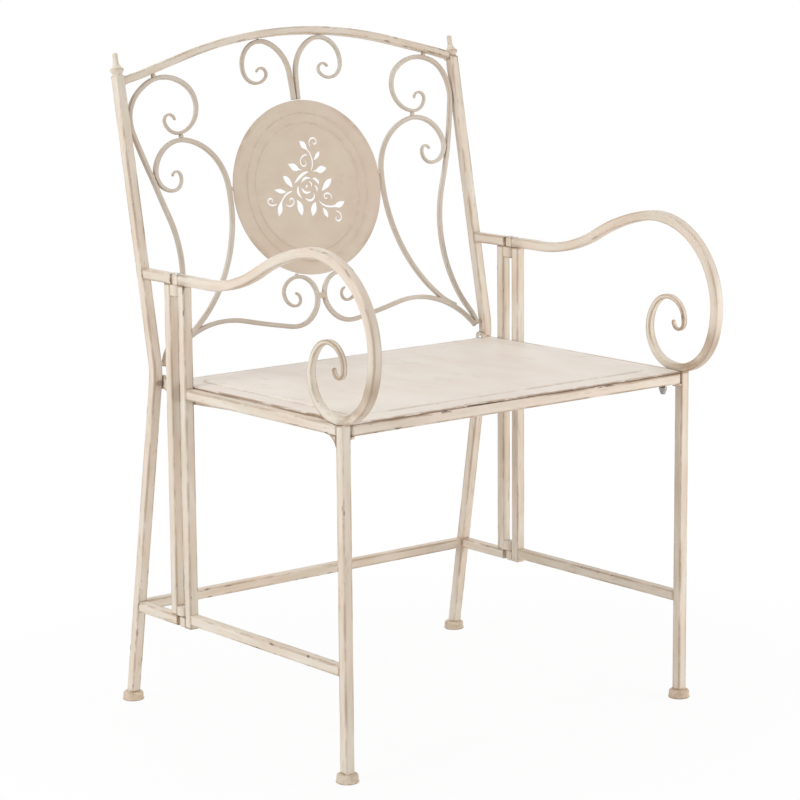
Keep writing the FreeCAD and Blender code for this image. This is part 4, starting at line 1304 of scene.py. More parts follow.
@dataclass
class BackPanel:
    """The scrollwork and the medallion, in one plane that leans with the posts."""

    effects: Effects
    lean: float = 10.9
    depth: float = 181.9
    height: float = 440.0
    bar: Section = Section(6.0, 6.0, 1.1)
    tip: float = 2.8
    tip_across: float = 3.6
    drawn_bends: int = 3
    uneven: float = 0.03
    first_seed: float = 10.0
    side_seed: float = 0.4
    post_gap: float = 272.0
    foot: float = 15.0
    top: float = 450.0
    arch_section: Section = Section(10.0, 12.9, 1.8)
    arch_end: Pair = (-276.0, 390.5)
    arch_slope: float = 15.0
    arch_radius: float = 666.0
    arch_uneven: float = 0.02
    arch_seed: float = 31.0
    beads: tuple[Pair, ...] = (
        (194, 313), (125.2, 238), (36, 113), (50, 430), (226, 396), (247, 265), (268.3, 20))
    bead_radius: float = 3.4
    bead_height: float = 6.0
    strap: Section = Section(height=7.0, width=13.0, rounding=1.6)
    collar_up: float = 83.0
    collar_tall: float = 8.0
    collar_eased: float = 0.12
    collar_steps: int = 8

    def plane(self) -> PanelPlane:
        """Give the plane of the scrollwork.

        Returns:
            The plane.
        """
        lean = math.radians(self.lean)
        return PanelPlane(Vector((0.0, self.depth, self.height)) * MM, Vector((1, 0, 0)),
                          Vector((0, math.sin(lean), math.cos(lean))))

    def arch(self) -> bpy.types.Object:
        """Bend the top rail, which stands for the plain one.

        Returns:
            The piece.
        """
        slope = math.radians(self.arch_slope)
        shoulder = (-self.arch_end[0] - self.arch_radius * math.sin(slope)) / math.cos(slope)
        route = Route(self.arch_end, self.arch_slope, (
            (None, shoulder), (self.arch_radius, -2.0 * self.arch_slope), (None, shoulder)))
        bar = ForgedBar(route, self.arch_section, self.arch_section.height,
                        self.arch_section.width, drawn_bends=1, uneven=self.arch_uneven)
        piece = bar.build("arch_bent", self.plane(), Side.RIGHT, self.arch_seed)
        dress(piece, TUBE_PAINT.material(self.effects, Run.ROUND, follows_bar=True))
        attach(piece, "back_frame")
        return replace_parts(piece, "arch_rail")

    def routes(self) -> dict[str, tuple[Route, bool]]:
        """Give the routes of the right-hand scrolls.

        Returns:
            Each scroll's route, and whether its drawn tip comes first.
        """
        return {
            "top_scroll": (Route((3.5, 347.5), 89.6, (
                (476, -4.5), (51.2, -61.1), (32.9, -125.7), (20.3, -127.5), (8, -202))), False),
            "corner_scroll": (Route((201, 334.5), 88.6, (
                (8.4, -196), (20.4, -79.5), (35.6, -134.4), (55.5, -143.2), (1083, -6.3),
                (179, 57.7), (63.8, -26))), True),
            "inner_scroll": (Route((216, 262.5), 97.9, (
                (6.7, 155.9), (15.2, 102.4), (23.9, 109.7), (46.8, 85.5), (73.1, 73.9),
                (209.8, 56.6), (90, 12), (None, 6))), True),
            "bottom_scroll": (Route((42, 90), -171.0, (
                (8.7, 175.4), (17.9, 133.6), (29.2, 154.6), (41.4, 65.3), (45.4, 11.6),
                (1176, 3.7), (132, -66))), True),
        }

    def scrolls(self) -> None:
        """Forge the scroll bars, which stand for the plain ones."""
        paint = SCROLL_PAINT.material(self.effects, Run.ROUND, follows_bar=True)
        for number, (stem, (route, tip_first)) in enumerate(self.routes().items()):
            bar = ForgedBar(route, self.bar, self.tip, self.tip_across, self.drawn_bends,
                            tip_first, self.uneven, keep=(self.post_gap, self.foot, self.top))
            for side in Side:
                seed = self.first_seed + number + self.side_seed * side.sign
                piece = bar.build(f"{stem}_forged_{side.value}", self.plane(), side, seed)
                dress(piece, paint)
                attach(piece, "back_frame")
                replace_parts(piece, f"{stem}_{side.value}")
                log.info("made %s", piece.name)

    def welds(self) -> None:
        """Lay the weld blobs of the scrollwork and the collar, which stand for plain ones."""
        draft = MeshDraft()
        seam = WeldSeam()
        plane = self.plane()
        for side in Side:
            for number, (across, up) in enumerate(self.beads):
                spot = plane.at(Vector((across, up, 0.0)), side.sign)
                seam.blob(draft, spot, plane.normal, self.bead_radius, self.bead_height,
                          number + 20.0 * side.sign)
        thing = draft.finish("scroll_weld_blobs", mirrored=True)
        dress(thing, WELD_PAINT.material(self.effects, Run.ROUND))
        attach(thing, "back_frame")
        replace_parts(thing, "scroll_weld_beads")
        collar = self.collar(plane)
        log.info("made %s and %s", thing.name, collar.name)

    def collar(self, plane: Plane) -> bpy.types.Object:
        """Make the strap collar that ties the two lowest curls.

        Args:
            plane: The scrollwork's plane.

        Returns:
            The piece.
        """
        draft = MeshDraft()
        rings = []
        for step in range(self.collar_steps + 1):
            share = step / self.collar_steps - 0.5
            swell = 1.0 - self.collar_eased * (2.0 * abs(share)) ** 6
            up = self.collar_up + self.collar_tall * share
            rings.append(draft.ring([
                plane.at(Vector((a * swell, up, 0.0))) + plane.normal * b * swell * MM
                for a, b in self.strap.outline(self.strap.height, self.strap.width)]))
        draft.rod(rings)
        thing = draft.finish("curl_collar", mirrored=True)
        dress(thing, WELD_PAINT.material(self.effects, Run.ROUND))
        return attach(thing, "back_frame")

    def build(self) -> None:
        """Make the scrollwork, the arch and the medallion."""
        self.scrolls()
        self.welds()
        log.info("made %s", self.arch().name)
        log.info("made %s", Medallion(self.effects).build(self.plane()).name)


# The rose and its three sprigs, cut through the sheet. Each cut is a stroke of places across,
# up, and wide, in millimetres from the medallion's middle.
ROSE_PETALS: tuple[Cut, ...] = (
    ((-21.0, 6.8, 0.9), (-15.5, 11.4, 3.6), (-8.5, 16.4, 4.2), (-1.5, 19.4, 3.4), (4.6, 20.4, 0.9)),
    ((-9.6, 6.2, 0.9), (-6.2, 10.2, 3.0), (-0.6, 12.6, 3.2), (6.8, 11.6, 0.9)),
    ((9.6, 10.8, 1.0), (14.2, 9.6, 4.2), (17.8, 6.2, 4.4), (19.6, 2.2, 1.0)),
    ((11.6, 1.4, 0.9), (14.4, -1.0, 3.0), (15.0, -4.6, 2.8), (14.2, -8.8, 0.8)),
    ((-15.2, 3.4, 0.9), (-16.6, -1.8, 3.8), (-16.2, -7.4, 4.0), (-11.2, -14.8, 0.9)),
    ((-10.2, 1.0, 0.9), (-8.2, -3.6, 3.4), (-3.6, -7.2, 3.4), (4.8, -6.8, 0.9)),
    ((-6.6, -13.4, 0.8), (-2.6, -16.9, 2.8), (3.2, -17.8, 3.0), (8.6, -14.6, 2.8),
     (10.0, -6.6, 0.8)),
    ((2.8, 7.4, 0.8), (6.2, 5.4, 2.6), (7.0, 2.4, 2.4), (6.0, -0.8, 0.8)),
    ((-3.6, 0.2, 1.0), (-1.6, 1.4, 3.4), (0.6, 2.6, 1.0)))
ROSE_LEAVES: tuple[Cut, ...] = (
    ((9.3, 21.5, 1.4), (12.6, 29.0, 2.5), (13.0, 37.0, 2.5), (10.6, 45.0, 2.3), (6.6, 50.6, 2.6),
     (3.4, 54.6, 7.6), (0.2, 58.2, 8.6), (-4.2, 62.6, 0.8)),
    ((16.0, 35.2, 0.8), (20.0, 38.6, 4.6), (23.6, 42.2, 5.2), (27.2, 46.2, 0.8)),
    ((-6.0, 23.6, 0.9), (-10.5, 25.0, 2.4), (-15.5, 27.0, 8.2), (-20.5, 29.6, 8.8),
     (-27.6, 33.4, 0.8)),
    ((12.0, 20.6, 0.9), (17.0, 20.8, 2.6), (22.5, 21.2, 8.2), (28.5, 22.2, 8.8),
     (35.6, 22.8, 0.9)),
    ((-25.0, 2.0, 0.9), (-28.0, 6.5, 6.2), (-31.5, 11.0, 8.8), (-34.8, 14.8, 7.2),
     (-38.8, 18.2, 0.8)),
    ((22.6, -7.0, 0.9), (27.6, -2.8, 6.0), (32.6, 1.2, 9.0), (37.0, 4.6, 7.2), (41.8, 7.6, 0.8)),
    ((-36.6, -3.0, 0.8), (-42.0, -2.2, 4.8), (-47.5, -0.8, 6.0), (-55.6, 1.0, 0.8)),
    ((-26.0, -3.2, 1.2), (-33.0, -4.6, 2.3), (-40.0, -8.6, 2.5), (-45.4, -14.6, 2.6),
     (-48.0, -19.0, 5.6), (-49.8, -24.0, 8.4), (-51.6, -29.0, 6.6), (-53.6, -34.2, 0.9)),
    ((-20.4, -15.0, 0.9), (-17.6, -20.5, 7.4), (-16.4, -26.0, 10.0), (-15.8, -31.5, 8.0),
     (-15.4, -37.0, 1.0)),
    ((10.8, -21.0, 0.9), (7.6, -25.5, 7.6), (5.4, -30.5, 9.6), (3.8, -34.8, 7.0),
     (2.2, -39.2, 0.9)),
    ((20.8, -29.6, 0.8), (23.4, -34.0, 5.6), (25.4, -38.5, 6.4), (27.8, -44.0, 0.8)),
    ((16.0, -19.6, 1.4), (20.5, -24.4, 2.5), (27.0, -28.0, 2.7), (35.0, -29.4, 2.5),
     (41.5, -29.2, 3.4), (47.0, -28.4, 7.4), (52.5, -27.2, 7.0), (58.6, -24.8, 0.9)))
ROSE_TENDRILS: tuple[Cut, ...] = (
    ((12.6, 53.4, 1.2), (11.6, 58.4, 2.0), (14.0, 63.4, 2.2), (19.2, 65.0, 2.2), (23.6, 62.0, 2.2),
     (23.2, 58.0, 2.0), (19.6, 56.6, 1.8), (17.6, 59.0, 1.4)),
    ((6.6, 42.8, 1.2), (1.6, 43.2, 2.0), (-4.0, 40.4, 2.2), (-6.6, 35.2, 2.2), (-5.0, 30.0, 2.2),
     (-0.6, 28.6, 2.0), (2.8, 31.6, 1.8), (1.8, 36.0, 1.4)),
    ((-53.8, -17.6, 1.2), (-60.5, -19.0, 2.0), (-66.6, -17.0, 2.2), (-68.6, -12.6, 2.2),
     (-65.0, -9.4, 2.2), (-61.0, -11.0, 2.0), (-61.6, -14.6, 1.5)),
    ((-40.2, -19.8, 1.2), (-34.5, -22.6, 2.0), (-28.5, -21.4, 2.2), (-25.4, -17.0, 2.2),
     (-27.4, -12.9, 2.2), (-31.8, -13.4, 2.0), (-32.0, -17.0, 1.5)),
    ((38.0, -21.4, 1.2), (38.0, -16.0, 2.0), (34.4, -11.8, 2.2), (29.0, -11.2, 2.2),
     (25.4, -14.0, 2.2), (27.0, -17.6, 2.0), (31.0, -17.2, 1.5)),
    ((42.0, -36.0, 1.2), (47.0, -38.0, 2.0), (50.0, -42.6, 2.2), (48.6, -47.8, 2.2),
     (43.6, -49.6, 2.2), (40.2, -46.6, 2.0), (41.8, -43.0, 1.5)))


@dataclass
class Medallion:
    """The round sheet: two pressed rings, and a rose with three sprigs cut through it."""

    effects: Effects
    middle: Pair = (1.0, 229.0)
    reach: Pair = (123.0, 117.5)
    sheet: float = 1.0
    field_radius: float = 74.0
    rings: Pair = (85.0, 98.0)
    ring_half: float = 2.1
    ring_rise: float = 0.85
    round_to: float = 102.0
    rim: float = 120.0
    rim_share: float = 0.4
    ring_shares: tuple[float, ...] = (
        -1.5, -1.0, -0.75, -0.5, -0.25, 0.0, 0.25, 0.5, 0.75, 1.0, 1.5)
    border_circles: Triple = (107.0, 112.0, 119.65)
    steps: int = 180
    pieces: int = 5
    least_half_cut: float = 0.35
    sharp_angle: float = math.radians(35.0)
    wave_height: float = 0.30
    wave_pace: float = 0.014
    # Brown at the outer foot of each pressed ring, partly painted shade in that crease.
    groove_stain: float = 0.35
    groove_width: float = 0.9
    border_stain: float = 0.55
    border_width: float = 1.6

    def relief(self, radius: float) -> float:
        """Give the height of the pressed rings at a distance from the middle."""
        return sum(self.ring_rise * 0.5 * (1 + math.cos(math.pi * (radius - ring) / self.ring_half))
                   for ring in self.rings if abs(radius - ring) < self.ring_half)

    def radii(self) -> list[float]:
        """List the grid's circles outside the flat field, close together over the pressed rings.

        Returns:
            Their radii.
        """
        found = [ring + self.ring_half * share for ring in self.rings
                 for share in self.ring_shares]
        return found + list(self.border_circles)

    def spot(self, radius: float, angle: float) -> Pair:
        """Place a point of the grid: circles inside, drawn out to the sheet's oval at its rim.

        Args:
            radius: Its distance from the middle.
            angle: Its angle, in radians.

        Returns:
            Across and up, in millimetres.
        """
        out = max(0.0, (radius - self.round_to) / (self.rim - self.round_to))
        return tuple(turn(angle) * radius * (1.0 + (reach / self.rim - 1.0) * out)
                     for turn, reach in zip((math.cos, math.sin), self.reach))

    def circle(self, radius: float) -> list[Pair]:
        """List the points of one of the grid's circles, across and up, in millimetres."""
        return [self.spot(radius, math.tau * i / self.steps) for i in range(self.steps)]

    def outline(self, cut: Cut) -> list[Pair]:
        """Draw the edge of a cut, counter-clockwise.

        Args:
            cut: The stroke's places and widths.

        Returns:
            The points of its edge.
        """
        ends = [Vector(cut[0]) * 2 - Vector(cut[1])] + [Vector(p) for p in cut]
        ends.append(Vector(cut[-1]) * 2 - Vector(cut[-2]))
        line = []
        for a, b, c, d in zip(ends, ends[1:], ends[2:], ends[3:]):
            for piece in range(self.pieces):
                t = piece / self.pieces
                line.append(0.5 * (2 * b + (c - a) * t + (2 * a - 5 * b + 4 * c - d) * t * t
                                   + (3 * b - a - 3 * c + d) * t ** 3))
        line.append(Vector(cut[-1]))
        left, right = [], []
        for number, place in enumerate(line):
            ahead = line[min(number + 1, len(line) - 1)] - line[max(number - 1, 0)]
            half = max(self.least_half_cut, place.z / 2)
            side = Vector((-ahead.y, ahead.x)).normalized() * half
            left.append((place.x + side.x, place.y + side.y))
            right.append((place.x - side.x, place.y - side.y))
        loop = right + left[::-1]
        turned = sum(a[0] * b[1] - b[0] * a[1] for a, b in zip(loop, loop[1:] + loop[:1]))
        return loop if turned > 0 else loop[::-1]

    def pierced(self, rim: list[Pair], loops: list[list[Pair]]
                ) -> tuple[list[Pair], list[tuple[int, ...]], list[list[int]]]:
        """Fill the flat field, round its cuts, with triangles.

        Args:
            rim: The field's edge.
            loops: The cuts' edges.

        Returns:
            The points, the triangles, and each cut's points by number.
        """
        points = list(rim)
        edges = [(i, (i + 1) % len(rim)) for i in range(len(rim))]
        numbers = []
        for loop in loops:
            first = len(points)
            count = len(loop)
            points += loop
            edges += [(first + i, first + (i + 1) % count) for i in range(count)]
            numbers.append(list(range(first, first + count)))
        made = geometry.delaunay_2d_cdt([Vector(p) for p in points], edges, [], 0, 1e-4, True)
        back_to = {new: old[0] for new, old in enumerate(made[3]) if old}
        kept = []
        for face in made[2]:
            if any(corner not in back_to for corner in face):
                continue
            corners = tuple(back_to[corner] for corner in face)
            x = sum(points[c][0] for c in corners) / 3
            y = sum(points[c][1] for c in corners) / 3
            if not any(self.holds(loop, x, y) for loop in loops):
                kept.append(corners)
        return points, kept, numbers

    @staticmethod
    def holds(loop: list[Pair], x: float, y: float) -> bool:
        """Tell whether a loop goes round a point.

        Args:
            loop: The loop.
            x: Across.
            y: Up.

        Returns:
            True where it does.
        """
        inside = False
        for (ax, ay), (bx, by) in zip(loop, loop[1:] + loop[:1]):
            if (ay > y) != (by > y) and x < (bx - ax) * (y - ay) / (by - ay) + ax:
                inside = not inside
        return inside

    def face(self, draft: MeshDraft, plane: Plane, points: list[Pair],
             triangles: list[tuple[int, ...]], way: float) -> tuple[list[int], list[int]]:
        """Lay one face of the sheet: the pierced field, the pressed rings and the border.

        Args:
            draft: The mesh.
            plane: The scrollwork's plane.
            points: The flat field's points.
            triangles: Its triangles.
            way: 1.0 for the face to the front, -1.0 for the other.

        Returns:
            The numbers of the field's points, and of the rim's.
        """
        first = way > 0
        half = way * self.sheet / 2
        field_points = self.lay(draft, plane, points, half)
        rings = [field_points[:self.steps]]
        rings += [self.lay(draft, plane, self.circle(radius), half + self.relief(radius))
                  for radius in self.radii()]
        rings.append(self.lay(draft, plane, self.circle(self.rim), half * self.rim_share))
        draft.sleeve(rings if first else rings[::-1])
        draft.faces += [tuple(field_points[c] for c in (t[::-1] if first else t))
                        for t in triangles]
        return field_points, rings[-1]

    def build(self, plane: Plane) -> bpy.types.Object:
        """Make the sheet, which stands for the plain medallion.

        Args:
            plane: The scrollwork's plane.

        Returns:
            The piece.
        """
        draft = MeshDraft()
        loops = [self.outline(cut) for cut in ROSE_PETALS + ROSE_LEAVES + ROSE_TENDRILS]
        points, triangles, numbers = self.pierced(self.circle(self.field_radius), loops)
        (front, front_rim), (back, back_rim) = [
            self.face(draft, plane, points, triangles, way) for way in (1.0, -1.0)]
        draft.bridge(front_rim, back_rim)
        for loop in numbers:
            draft.bridge([back[i] for i in loop], [front[i] for i in loop])
        thing = draft.finish("medallion_pierced", mirrored=True)
        thing.data.set_sharp_from_angle(angle=self.sharp_angle)
        dress(thing, DISC_SHADED_PAINT.material(self.effects, Run.FLAT))
        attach(thing, "back_frame")
        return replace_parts(thing, "medallion")

    def lay(self, draft: MeshDraft, plane: Plane, spots: list[Pair], lift: float
            ) -> list[int]:
        """Add points of the sheet, with the faint waves that pressing leaves in it.

        Args:
            draft: The mesh.
            plane: The scrollwork's plane.
            spots: The points, across and up from the middle, in millimetres.
            lift: Their height over the sheet's middle.

        Returns:
            Their numbers.
        """
        laid = []
        for across, up in spots:
            at = Vector((across * self.wave_pace, up * self.wave_pace, 5.0))
            wave = self.wave_height * noise.noise(at)
            place = plane.at(Vector((across + self.middle[0], up + self.middle[1], 0.0)))
            laid.append(place + plane.normal * (lift + wave) * MM)
            radius = math.hypot(across, up)
            # Brown at the rings' feet is partly painted shade in the crease.
            groove = sum(bell(radius - ring - self.ring_half, self.groove_width)
                         for ring in self.rings)
            border = bell(radius - self.rim, self.border_width)
            draft.stain.append(min(1.0, self.groove_stain * groove + self.border_stain * border))
        return draft.ring(laid)


@dataclass(frozen=True)
class SheetEdge:
    """The edge of the seat's sheet, in millimetres: its half width, its front and its back."""

    half: float
    front: float
    back: float

    @property
    def middle(self) -> float:
        """Give the place halfway from front to back."""
        return (self.front + self.back) / 2

    @property
    def half_deep(self) -> float:
        """Give half the way from front to back."""
        return (self.back - self.front) / 2


@dataclass
class Seat:
    """The seat: rails that stay as made, and a sheet panel pressed anew."""

    effects: Effects
    border: float = 32.0
    corner: float = 11.0
    roll: float = 1.3
    rise: float = 1.1
    most_over: float = 0.05
    press: float = 2.6
    groove_depth: float = 0.30
    groove_out: float = 2.4
    groove_width: float = 1.5
    wave_height: float = 0.45
    wave_pace: Pair = (0.011, 0.014)
    dent_height: float = 0.12
    dent_pace: float = 0.05
    calm_reach: float = 60.0
    lip_reach: float = 14.0
    lip_fall: float = 1.9
    least_gape: float = 0.12
    gape_width: float = 46.0
    step_at: float = -92.0
    # Brown in the groove round the raised field, partly painted shade of the groove.
    groove_stain: Triple = (0.85, 2.0, 1.4)
    rim_stain: Triple = (0.8, 1.0, 1.6)
    side_calm: float = 1.5
    roll_stain: float = 0.25
    # Brown under the rolled lip, partly painted shade beneath it.
    hem_stain: float = 0.8
    rolled: tuple[Pair, ...] = (
        (0.5, 0.13), (0.87, 0.5), (1.0, 1.0), (0.87, 1.5), (0.5, 1.87), (0.0, 2.0), (-2.0, 2.0))
    roll_half: float = 1.5
    corner_out: float = 0.72
    lap: float = 2.4
    thick: float = 3.6
    widen: float = 0.7
    fine_step: float = 0.8
    wide_step: float = 5.0
    fine_reach: float = 6.0

    def inset(self, x: float, y: float, edge: SheetEdge) -> float:
        """Give how far inside the raised field's edge a place is, with its corners rounded.

        Args:
            x: Across the seat.
            y: From front to back.
            edge: The sheet's edge.

        Returns:
            The distance, negative outside the field.
        """
        past_x = abs(x) - (edge.half - self.border - self.corner)
        past_y = abs(y - edge.middle) - (edge.half_deep - self.border - self.corner)
        outside = math.hypot(max(past_x, 0.0), max(past_y, 0.0))
        return self.corner - outside - min(max(past_x, past_y), 0.0)

    def lift(self, x: float, y: float, edge: SheetEdge) -> float:
        """Give the sheet's height over its rim at a place, all in millimetres.

        Args:
            x: Across the seat.
            y: From front to back.
            edge: The sheet's edge.

        Returns:
            The height over the rim.
        """
        inset = self.inset(x, y, edge)
        field_lift = self.rise * ease(inset / self.press + 0.5)
        groove = self.groove_depth * bell(inset + self.groove_out, self.groove_width)
        room = ease(min(edge.half - abs(x), y - edge.front, edge.back - y) / self.calm_reach)
        slow = Vector((x * self.wave_pace[0], y * self.wave_pace[1], 2.0))
        quick = Vector((x * self.dent_pace, y * self.dent_pace, 7.0))
        wave = self.wave_height * noise.noise(slow) + self.dent_height * noise.noise(quick)
        return min(field_lift - groove + wave * room, self.rise + self.most_over)

    def lip_drop(self, x: float, y: float, edge: SheetEdge) -> float:
        """Give how far the front lip is pressed down at a place: less where it gapes.

        Args:
            x: Across the seat.
            y: From front to back.
            edge: The sheet's edge.

        Returns:
            The drop, in millimetres.
        """
        near = max(0.0, 1.0 - (y - edge.front) / self.lip_reach) ** 2
        gape = 0.0
        if x > self.step_at:
            open_here = bell(x - self.step_at, self.gape_width)
            gape = self.least_gape + (1.0 - self.least_gape) * open_here
        return self.lip_fall * near * (1.0 - gape)

    def held(self, x: float, y: float, edge: SheetEdge) -> float:
        """Give how much brown the sheet holds at a place: round its raised field, partly painted
        shade of its groove, and at its rim.

        Args:
            x: Across the seat.
            y: From front to back.
            edge: The sheet's edge.

        Returns:
            The share, from 0 to 1.
        """
        groove_share, groove_at, groove_wide = self.groove_stain
        rim_share, rim_at, rim_wide = self.rim_stain
        near = min(edge.half - abs(x) + self.side_calm, y - edge.front, edge.back - y)
        return min(1.0, groove_share * bell(self.inset(x, y, edge) + groove_at, groove_wide)
                   + rim_share * bell(near - rim_at, rim_wide))

    def lines(self, low: float, high: float, also: float | None = None) -> list[float]:
        """List the grid's lines along one axis, close together where the sheet bends.

        Args:
            low: The first line.
            high: The last line.
            also: One more place where they lie close.

        Returns:
            The lines.
        """
        edge = self.border - self.roll
        bends = [low + edge, high - edge] + ([also] if also is not None else [])
        found = [low]
        while found[-1] < high - self.fine_step:
            near = min(abs(found[-1] + self.fine_reach / 3 - bend) for bend in bends)
            step = self.fine_step if near < self.fine_reach else self.wide_step
            found.append(min(found[-1] + step, high))
        found[-1] = high
        return found

    @staticmethod
    def rim_of(grid: list[list[int]]) -> list[int]:
        """List the points round a grid's edge, in order."""
        return (grid[0] + [row[-1] for row in grid[1:]] + grid[-1][-2::-1]
                + [row[0] for row in grid[-2:0:-1]])

    def upper_side(self, draft: MeshDraft, edge: SheetEdge, rim: float) -> list[list[int]]:
        """Lay the sheet's upper side, with its raised field and its front lip.

        Args:
            draft: The mesh.
            edge: The sheet's edge.
            rim: The rim's height.

        Returns:
            Its rows of points, from front to back.
        """
        columns = self.lines(self.roll - edge.half, edge.half - self.roll, self.step_at)
        grid = []
        for y in self.lines(edge.front + self.roll, edge.back - self.roll):
            grid.append(draft.ring([
                Vector((x, y, rim + self.lift(x, y, edge) - self.lip_drop(x, y, edge))) * MM
                for x in columns]))
            draft.stain += [self.held(x, y, edge) for x in columns]
        draft.sleeve(grid, closed=False)
        return grid

    def underside(self, draft: MeshDraft, edge: SheetEdge, grid: list[list[int]]
                  ) -> list[list[int]]:
        """Lay the sheet's underside, which follows its upper side a little way in.

        Args:
            draft: The mesh.
            edge: The sheet's edge.
            grid: The upper side's rows.

        Returns:
            Its rows of points, from front to back.
        """
        narrow = 1.0 - self.lap * self.roll / (edge.half - self.roll)
        short = 1.0 - self.lap * self.roll / (edge.half_deep - self.roll)
        middle = edge.middle * MM
        below = []
        for row in grid:
            tops = [draft.points[i] for i in row]
            below.append(draft.ring([
                Vector((p.x * narrow, middle + (p.y - middle) * short, p.z - self.thick * MM))
                for p in tops]))
            draft.stain += [0.0] * len(row)
        draft.sleeve(below[::-1], closed=False)
        return below

    def outward(self, point: Vector, edge: SheetEdge) -> Vector:
        """Give the way out of the sheet at a point of its edge.

        Args:
            point: The point.
            edge: The sheet's edge.

        Returns:
            A level direction, longer at a corner.
        """
        x, y = point.x / MM, point.y / MM
        way = Vector((0.0, 0.0, 0.0))
        near = 0.01
        if abs(abs(x) - edge.half + self.roll) < near:
            way.x = math.copysign(1.0, x)
        if abs(y - edge.front - self.roll) < near:
            way.y = -1.0
        if abs(y - edge.back + self.roll) < near:
            way.y = 1.0
        return way * (self.corner_out if way.x and way.y else 1.0)

    def panel(self) -> bpy.types.Object:
        """Press the seat's sheet: raised field, border, and a rolled rim all round.

        Returns:
            The piece.
        """
        low, high, _ = node_box("seat_panel")
        edge = SheetEdge(high.x / MM + self.widen, low.y / MM, high.y / MM)
        draft = MeshDraft()
        grid = self.upper_side(draft, edge, high.z / MM - self.rise)
        rings = [self.rim_of(grid)]
        outs = [self.outward(draft.points[i], edge) for i in rings[0]]
        for out, drop in self.rolled:
            rings.append(draft.ring([
                draft.points[i] + (way * out * self.roll - Vector((0, 0, drop))) * MM
                for i, way in zip(rings[0], outs)]))
            # Brown on the roll's lower half and its hem is partly painted shade under the lip.
            share = self.roll_stain if drop < self.roll_half else self.hem_stain
            draft.stain += [share] * len(outs)
        rings.append(self.rim_of(self.underside(draft, edge, grid)))
        draft.sleeve(rings[::-1])
        thing = draft.finish("seat_sheet")
        dress(thing, SEAT_LIT_PAINT.material(self.effects, Run.FLAT))
        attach(thing, "seat")
        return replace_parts(thing, "seat_panel")

    def build(self) -> None:
        """Make the seat's sheet and dress its rails."""
        for side in Side:
            dress_nodes(self.effects, side, RAIL_PAINT, {"seat_side_bar": Run.DEEP})
        for node in ("seat_front_rail", "seat_rear_rail"):
            dress(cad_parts[node], RAIL_PAINT.material(self.effects, Run.ACROSS))
        log.info("made %s", self.panel().name)


@dataclass
class LockKnob:
    """The knob under the front rail: tapered, with a fluted grip, on a plain stud."""

    effects: Effects
    flutes: int = 10
    depth: float = 0.6
    top_radius: float = 5.4
    tip_radius: float = 3.0
    stud_radius: float = 2.9
    stud_gap: float = 0.02
    height: float = 9.5
    tip_turns: Cut = ((0.0, -0.7, 0.0), (0.2, -0.3, 0.2), (0.7, 0.0, 0.5), (1.6, 0.3, 0.9))
    top_turns: Cut = ((2.9, 0.15, 1.0), (2.4, 0.0, 1.0), (0.7, 0.0, 0.9), (0.2, 0.3, 0.4),
                      (0.0, 0.9, 0.0))
    steps: int = 100

    def levels(self, low: float, top: float) -> list[Triple]:
        """List the knob's rings from its tip to its stud.

        Args:
            low: The tip's height, in metres.
            top: The stud's upper end.

        Returns:
            Height, radius and share of the flutes for each ring.
        """
        shoulder = low + self.height * MM
        rings = [(low + lift * MM, self.tip_radius + grow, share)
                 for lift, grow, share in self.tip_turns]
        rings += [(shoulder - drop * MM, self.top_radius - less, share)
                  for drop, less, share in self.top_turns]
        return rings + [(shoulder + self.stud_gap * MM, self.stud_radius, 0.0),
                        (top, self.stud_radius, 0.0)]

    def build(self) -> None:
        """Make the knob."""
        low, high, middle = node_box("lock_knob")
        draft = MeshDraft()
        rings = []
        for height, radius, fluted in self.levels(low.z, high.z):
            ring = []
            for step in range(self.steps):
                angle = math.tau * step / self.steps
                dip = self.depth * fluted * (0.5 - 0.5 * math.cos(self.flutes * angle))
                reach = (radius - dip) * MM
                ring.append(Vector((middle.x + reach * math.cos(angle),
                                    middle.y + reach * math.sin(angle), height)))
            rings.append(draft.ring(ring))
        draft.rod(rings)
        thing = draft.finish("lock_knob_grip")
        dress(thing, KNOB_STEEL.material(self.effects))
        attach(thing, "knob")
        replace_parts(thing, "lock_knob")
        log.info("made %s", thing.name)


